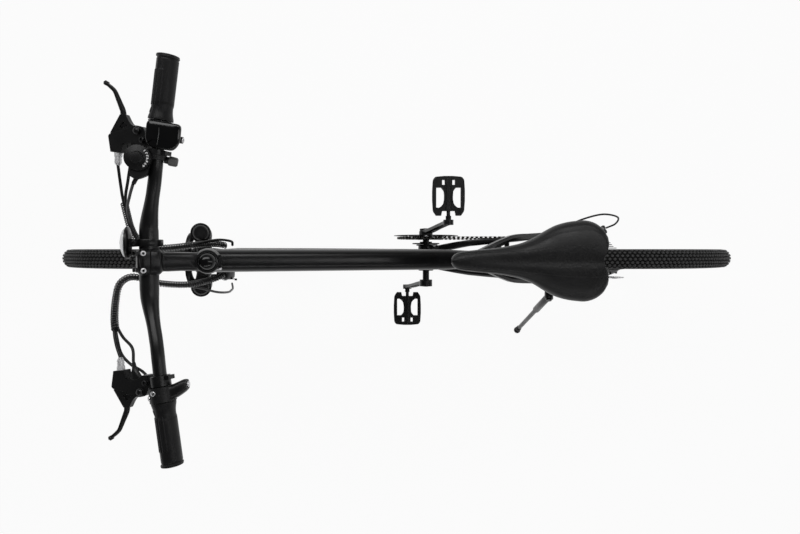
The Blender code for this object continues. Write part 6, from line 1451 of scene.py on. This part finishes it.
def add_lever_fittings():
    for side, name in ((1, "left"), (-1, "right")):
        up = lever_point(side, 0, 0, 1.0) - lever_point(side, 0, 0)
        place = along(lever_point(side, 0, LEVER_PIVOT_X, 0.0102), up)
        Piece("pivot_screw_" + name).turned(PIVOT_SCREW, place, 32).fix("steering", "anodised_black")
        spot = (lever_point(side, -0.0140, 0.0250, 0.0088), up, 0.0050, 0.0030)
        bolts("clamp_bolt_" + name, "steering", [spot], "anodised_black")
        low = lever_point(side, 0.0062, 0.0725, -0.0045)
        nipple = Piece("cable_end_" + name).rod(low, low + up * 0.0065, 0.0044, sides=24)
        nipple.fix("brake_lever_" + name, "dark_steel")
        add_barrel("barrel_adjuster_" + name, side)
        add_boot("cable_boot_" + name, side)


NUMERAL_SIZE = 0.0072
NUMERAL_R = 0.0152
DIAL_CAP = ((0.0, 0.012), (0.006, 0.012), (0.0086, 0.0114), (0.0092, 0.0104), (0.0, 0.0104))


def numeral(number):
    """A raised figure, flat in its own XY plane."""
    text = bpy.data.curves.new("gear_%d" % number, "FONT")
    text.body = str(number)
    text.size = NUMERAL_SIZE
    text.offset = 0.0003
    text.extrude = 0.00015
    text.align_x = "CENTER"
    text.align_y = "CENTER"
    text.resolution_u = 3
    label = linked("gear_%d" % number, text)
    mesh = bpy.data.meshes.new_from_object(label)
    bpy.data.objects.remove(label, do_unlink=True)
    return linked("gear_numeral_%d" % number, mesh)


def add_dial():
    """A ribbed thumb ring on the dial, and plain numerals from 1 to 7 round it."""
    place = SHIFTER @ Matrix.Translation(DIAL)
    ribs = Piece("dial_ribs")
    for a in turns(30):
        ribs.block((0.0202, 0, 0.0017), (0.0014, 0.0020, 0.0034), place @ Matrix.Rotation(a, 4, "Z"), 0.0003)
    ribs.fix("shift_dial", "moulded_black")
    Piece("dial_cap").turned(DIAL_CAP, place, 48).fix("shift_dial", "moulded_black")
    for number in range(1, 8):
        a = math.radians(116 + 16 * number)
        spot = Vector((NUMERAL_R * math.cos(a), NUMERAL_R * math.sin(a), 0.0049))
        slope = Matrix.Rotation(math.radians(-15), 4, Vector((-math.sin(a), math.cos(a), 0)))
        piece = numeral(number)
        upright = Matrix.Rotation(a - math.pi / 2, 4, "Z")
        piece.data.transform(place @ Matrix.Translation(spot) @ slope @ upright)
        fix(piece, "shift_dial", "steel", WHITE_PRINT)


HOUSING_CENTRE = Vector((-0.0120, 0.0))
HOUSING_ROUND = 0.0085
HOUSING_CORNERS = (
    (-0.033, -0.0232), (0.006, -0.0232), (0.0156, -0.0115), (0.0156, 0.0212), (-0.041, 0.0212), (-0.042, -0.009),
)
# Height, share of the outline's size, and share by which the rear wall draws in
HOUSING_RINGS = (
    (-0.019, 0.86, 0.42), (-0.018, 0.94, 0.40), (-0.015, 0.98, 0.36), (0.0, 1.0, 0.16), (0.014, 1.0, 0.0),
    (0.0172, 0.985, 0.0), (0.0188, 0.945, 0.0), (0.0196, 0.88, 0.0), (0.0201, 0.6, 0.0),
)
HOUSING_LIP = (
    (0.015, 0.0196), (0.0186, 0.0196), (0.0192, 0.0204), (0.0192, 0.022), (0.0186, 0.0226), (0.015, 0.0226),
)
HOUSING_SEAM = (
    (-0.0062, -0.0225, 0.015), (-0.0066, -0.02, 0.019), (-0.0078, 0.0, 0.0201), (-0.0064, 0.0185, 0.0191),
)


def rounded_outline(corners, radius, steps=6):
    """A closed outline whose corners are rounded by short curves."""
    result = []
    for i, corner in enumerate(corners):
        here = Vector(corner)
        before = (Vector(corners[i - 1]) - here).normalized() * radius
        after = (Vector(corners[(i + 1) % len(corners)]) - here).normalized() * radius
        shares = [step / steps for step in range(steps + 1)]
        result += [here + before * (1 - t) ** 2 + after * t**2 for t in shares]
    return result


def add_throttle_housing():
    """A crowned box inside the twist grip, whose rear wall draws in below, with a lip and a screw lug."""
    rings = []
    for height, size, draw in HOUSING_RINGS:
        ring = []
        for point in rounded_outline(HOUSING_CORNERS, HOUSING_ROUND):
            flat = HOUSING_CENTRE + (point - HOUSING_CENTRE) * size
            x = flat.x * (1 - draw) if flat.x < 0 else flat.x
            ring.append(HOUSING @ Vector((x, flat.y, height)))
        rings.append(ring)
    lug = [HOUSING @ Vector((x, -0.003, 0.004)) for x in (-0.0300, -0.0415)]
    box = Piece("throttle_housing_box").loft(rings).turned(HOUSING_LIP, HOUSING @ ROUND_BAR, 64, True)
    box.rod(*lug, 0.0056, sides=32).fix("steering", slot_of("throttle_housing"), replaces="throttle_housing")


POD_BUTTON = ((0.0, 0.0026), (0.0028, 0.0024), (0.0042, 0.0014), (0.0046, 0.0), (0.0, 0.0))
POD_SEAM = ((0.0216, -0.0006), (0.0218, 0.0), (0.0216, 0.0006), (0.0205, 0.0006), (0.0205, -0.0006))
SHIFTER_CAP = ((0.0, 0.015), (0.0056, 0.0146), (0.0078, 0.0125), (0.0082, 0.003), (0.0074, 0.0), (0.0, 0.0))


def add_switch_fittings():
    place = hand_frame(1, 0.2210)
    buttons = Piece("pod_buttons")
    for turn, y in ((0.6, 0.0035), (1.25, -0.0045)):
        axis = place.to_3x3() @ polar(Vector(), 1.0, turn)
        buttons.turned(POD_BUTTON, along(place @ polar(Vector(), 0.0212, turn, y), axis), 28)
    buttons.fix("steering", "steel")
    Piece("pod_seam").turned(POD_SEAM, place @ ROUND_BAR, 72, True).fix("steering", "moulded_black")
    back = HOUSING.to_3x3() @ Vector((-1, 0, 0))
    bolts("throttle_screw", "steering", [(HOUSING @ Vector((-0.0413, -0.003, 0.004)), back, 0.0040, 0.0020)])
    # A light grey line along the housing's seam: a painted highlight on the seam
    seam = Piece("throttle_seam_painted_highlight").tube([HOUSING @ Vector(p) for p in HOUSING_SEAM], 0.0005, 8, 6)
    seam.fix("steering", "moulded_black", GREY_CAP_AND_SEAM_HIGHLIGHT)
    ear = SHIFTER @ Vector((-0.0190, -0.0028, -0.0030))
    cap_axis = SHIFTER.to_3x3() @ Vector((-0.0165, -0.0016, -0.002))
    cap = Piece("shifter_cap").turned(SHIFTER_CAP, along(ear, cap_axis), 48)
    cap.fix("steering", "moulded_black", GREY_CAP_AND_SEAM_HIGHLIGHT)


FORK_KNOB = ((0.0, 0.003), (0.0118, 0.0028), (0.0122, 0.0018), (0.0134, 0.002), (0.0148, 0.0), (0.0, -0.0004))
DUST_SEAL = ((0.0153, 0.0), (0.0153, 0.0046), (0.0164, 0.005), (0.0182, 0.0022), (0.0186, 0.0))


def add_fork_fittings():
    for y, name in ((-LEG_SPACING / 2, "right"), (LEG_SPACING / 2, "left")):
        knob = along(steer_point(CROWN_TOP + 0.0098, CROWN_OFFSET, y), STEER_UP)
        Piece("fork_knob_" + name).turned(FORK_KNOB, knob, 40).fix("steering", "anodised_black")
        seal = along(steer_point(SEAL_H, CROWN_OFFSET, y), STEER_UP)
        Piece("dust_seal_" + name).turned(DUST_SEAL, seal, 64, True).fix("fork_lowers", "moulded_black")


KICK_PIVOT = REAR_AXLE + Vector((0.119, 0.1125, -0.043))
KICK_FOOT_Y = KICK_PIVOT.y + 0.138
KICK_FOOT = Vector((KICK_PIVOT.x + 0.040, KICK_FOOT_Y, (KICK_FOOT_Y - TREAD_FLAT) * math.tan(LEAN)))
KICK_L = (KICK_FOOT - KICK_PIVOT).length
KICK_DOWN = (KICK_FOOT - KICK_PIVOT).normalized()
KICK_STOWED = Vector((-0.99, 0.06, 0.10)).normalized()
KICK_AXIS = KICK_DOWN.cross(KICK_STOWED).normalized()
KICK_DRUM = (
    (0.005, -0.0095), (0.0116, -0.0095), (0.0125, -0.0086), (0.0125, 0.0086), (0.0116, 0.0095), (0.005, 0.0095),
)
KICK_ROD = (
    (0.0, 0.01), (0.009, 0.01), (0.0104, 0.018), (0.0106, KICK_L * 0.36), (0.0098, KICK_L * 0.365),
    (0.008, KICK_L * 0.368), (0.007, KICK_L * 0.372), (0.0066, KICK_L - 0.006), (0.0, KICK_L - 0.006),
)
KICK_CUP = ((0.0072, -0.026), (0.0086, -0.024), (0.0092, -0.011), (0.007, -0.008), (0.0066, -0.015))
KICK_SOLE = ((0.0, 0.0), (0.0098, 0.0), (0.011, 0.0014), (0.0108, 0.005), (0.0084, 0.009), (0.0, 0.0105))


def add_kickstand():
    """A rod in a thicker sleeve, with its drum on the bolt and a small rubber foot flat on the floor."""
    down = along(KICK_PIVOT, KICK_DOWN)
    rod = Piece("kickstand_rod").turned(KICK_DRUM, along(KICK_PIVOT, KICK_AXIS), 48, True)
    rod.turned(KICK_ROD, down, 40).fix("kickstand", "satin_black", replaces="kickstand_leg")
    upright = Vector((0, -math.sin(LEAN), math.cos(LEAN)))
    foot = Piece("kickstand_foot").turned(moved(KICK_CUP, KICK_L), down, 36, True)
    foot.turned(KICK_SOLE, along(KICK_FOOT, upright), 36).fix("kickstand", "grip_rubber")


def add_brake_fittings():
    for name, axle, degrees, outer, body in (
        ("front", FRONT_AXLE, 167.0, 0.0240, "fork_lowers"),
        ("rear", REAR_AXLE, 25.0, 0.0150, "bike_frame"),
    ):
        angle = math.radians(degrees)
        y = ROTOR_Y[name] + outer
        centre = polar(axle, 0.076, angle, y - 0.0004)
        round_it = polar(Vector(), 0.0155, angle + math.pi / 2)
        heads = [(centre + round_it * s, ACROSS, 0.0044, 0.0034) for s in (-1, 1)]
        bolts("caliper_bolts_" + name, body, heads)
        arm = polar(axle, 0.074, angle, y + 0.0030)
        bolts("caliper_arm_bolt_" + name, name + "_caliper_arm", [(arm, ACROSS, 0.0056, 0.0030)])


def add_drive_fittings():
    ring = [(polar(BB, 0.0520, a + 0.3, -0.0602), -ACROSS, 0.0042, 0.0034) for a in turns(5)]
    bolts("chainring_bolts", "cranks", ring)
    ends = [(BB + out * 0.0830, out, 0.0078, 0.0030) for out in (ACROSS, -ACROSS)]
    bolts("crank_bolts", "cranks", ends)
    pulleys = (GUIDE_PULLEY, polar(GUIDE_PULLEY, CAGE_L, CAGE_ANGLE))
    spindles = [(at - ACROSS * 0.0062, -ACROSS, 0.0040, 0.0030) for at in pulleys]
    bolts("pulley_bolts", "derailleur_cage", spindles)


TOP_TUBE_START = 0.094
TOP_TUBE_END = 0.420
TOP_TUBE_HALF = 0.0215
TOP_TUBE_STATIONS = (0.0, 0.5, 0.85, 1.0)
TOP_TUBE_HEIGHTS = (0.0270, 0.0240, 0.0210, 0.0190)
TOP_TUBE_WIDTHS = (1.0, 1.0, 1.0, 0.8)
TOP_TUBE_POWER = 2 / 2.8
SKIN = 0.0007


def add_top_tube():
    """The hydroformed top tube's smooth skin, from inside the head tube to inside the seat tube."""
    start = steer_point(CROWN_TOP + LOWER_CUP_T + TOP_TUBE_START + GAP)
    end = BB + SEAT_UP * TOP_TUBE_END
    up = (end - start).cross(ACROSS).normalized()
    rings = []
    for i in range(41):
        t = i / 40
        high = float(np.interp(t, TOP_TUBE_STATIONS, TOP_TUBE_HEIGHTS)) + SKIN
        wide = TOP_TUBE_HALF * float(np.interp(t, TOP_TUBE_STATIONS, TOP_TUBE_WIDTHS)) + SKIN
        ring = []
        for a in turns(72):
            x = math.copysign(abs(math.cos(a)) ** TOP_TUBE_POWER, math.cos(a)) * wide
            z = math.copysign(abs(math.sin(a)) ** TOP_TUBE_POWER, math.sin(a)) * high
            ring.append(start.lerp(end, t) + ACROSS * x + up * z)
        rings.append(ring)
    Piece("top_tube_skin").loft(rings).fix("bike_frame", "gloss_black")


# The frame's own pieces, made finer and finished, except those that have a shape of their own above

OWN_SHAPES = """top_cap headlight_body headlight_lens front_tyre rear_tyre front_rim rear_rim front_hub
    hub_motor front_rotor rear_rotor chain saddle grip_left throttle_grip cable_bundle_left
    cable_bundle_right shift_cable_rear kickstand_leg throttle_housing""".split()


def add_fine_copies():
    for name in sorted(frame["nodes"]):
        if name not in OWN_SHAPES:
            body = frame["nodes"][name]["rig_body"]
            fix(refined(name), body, slot_of(name), replaces=name, lean=False)


add_camera()
add_light()
add_floor()
bpy.context.scene.view_settings.view_transform = "Standard"
add_fine_copies()
add_wheels()
chain().fix("bike_frame", "dark_steel", CHAIN_STEEL, replaces="chain")
add_saddle()
add_grips()
add_cables()
add_stem_bolts()
add_top_cap()
add_headlight()
add_lever_fittings()
add_dial()
add_throttle_housing()
add_switch_fittings()
add_fork_fittings()
add_kickstand()
add_top_tube()
add_brake_fittings()
add_drive_fittings()
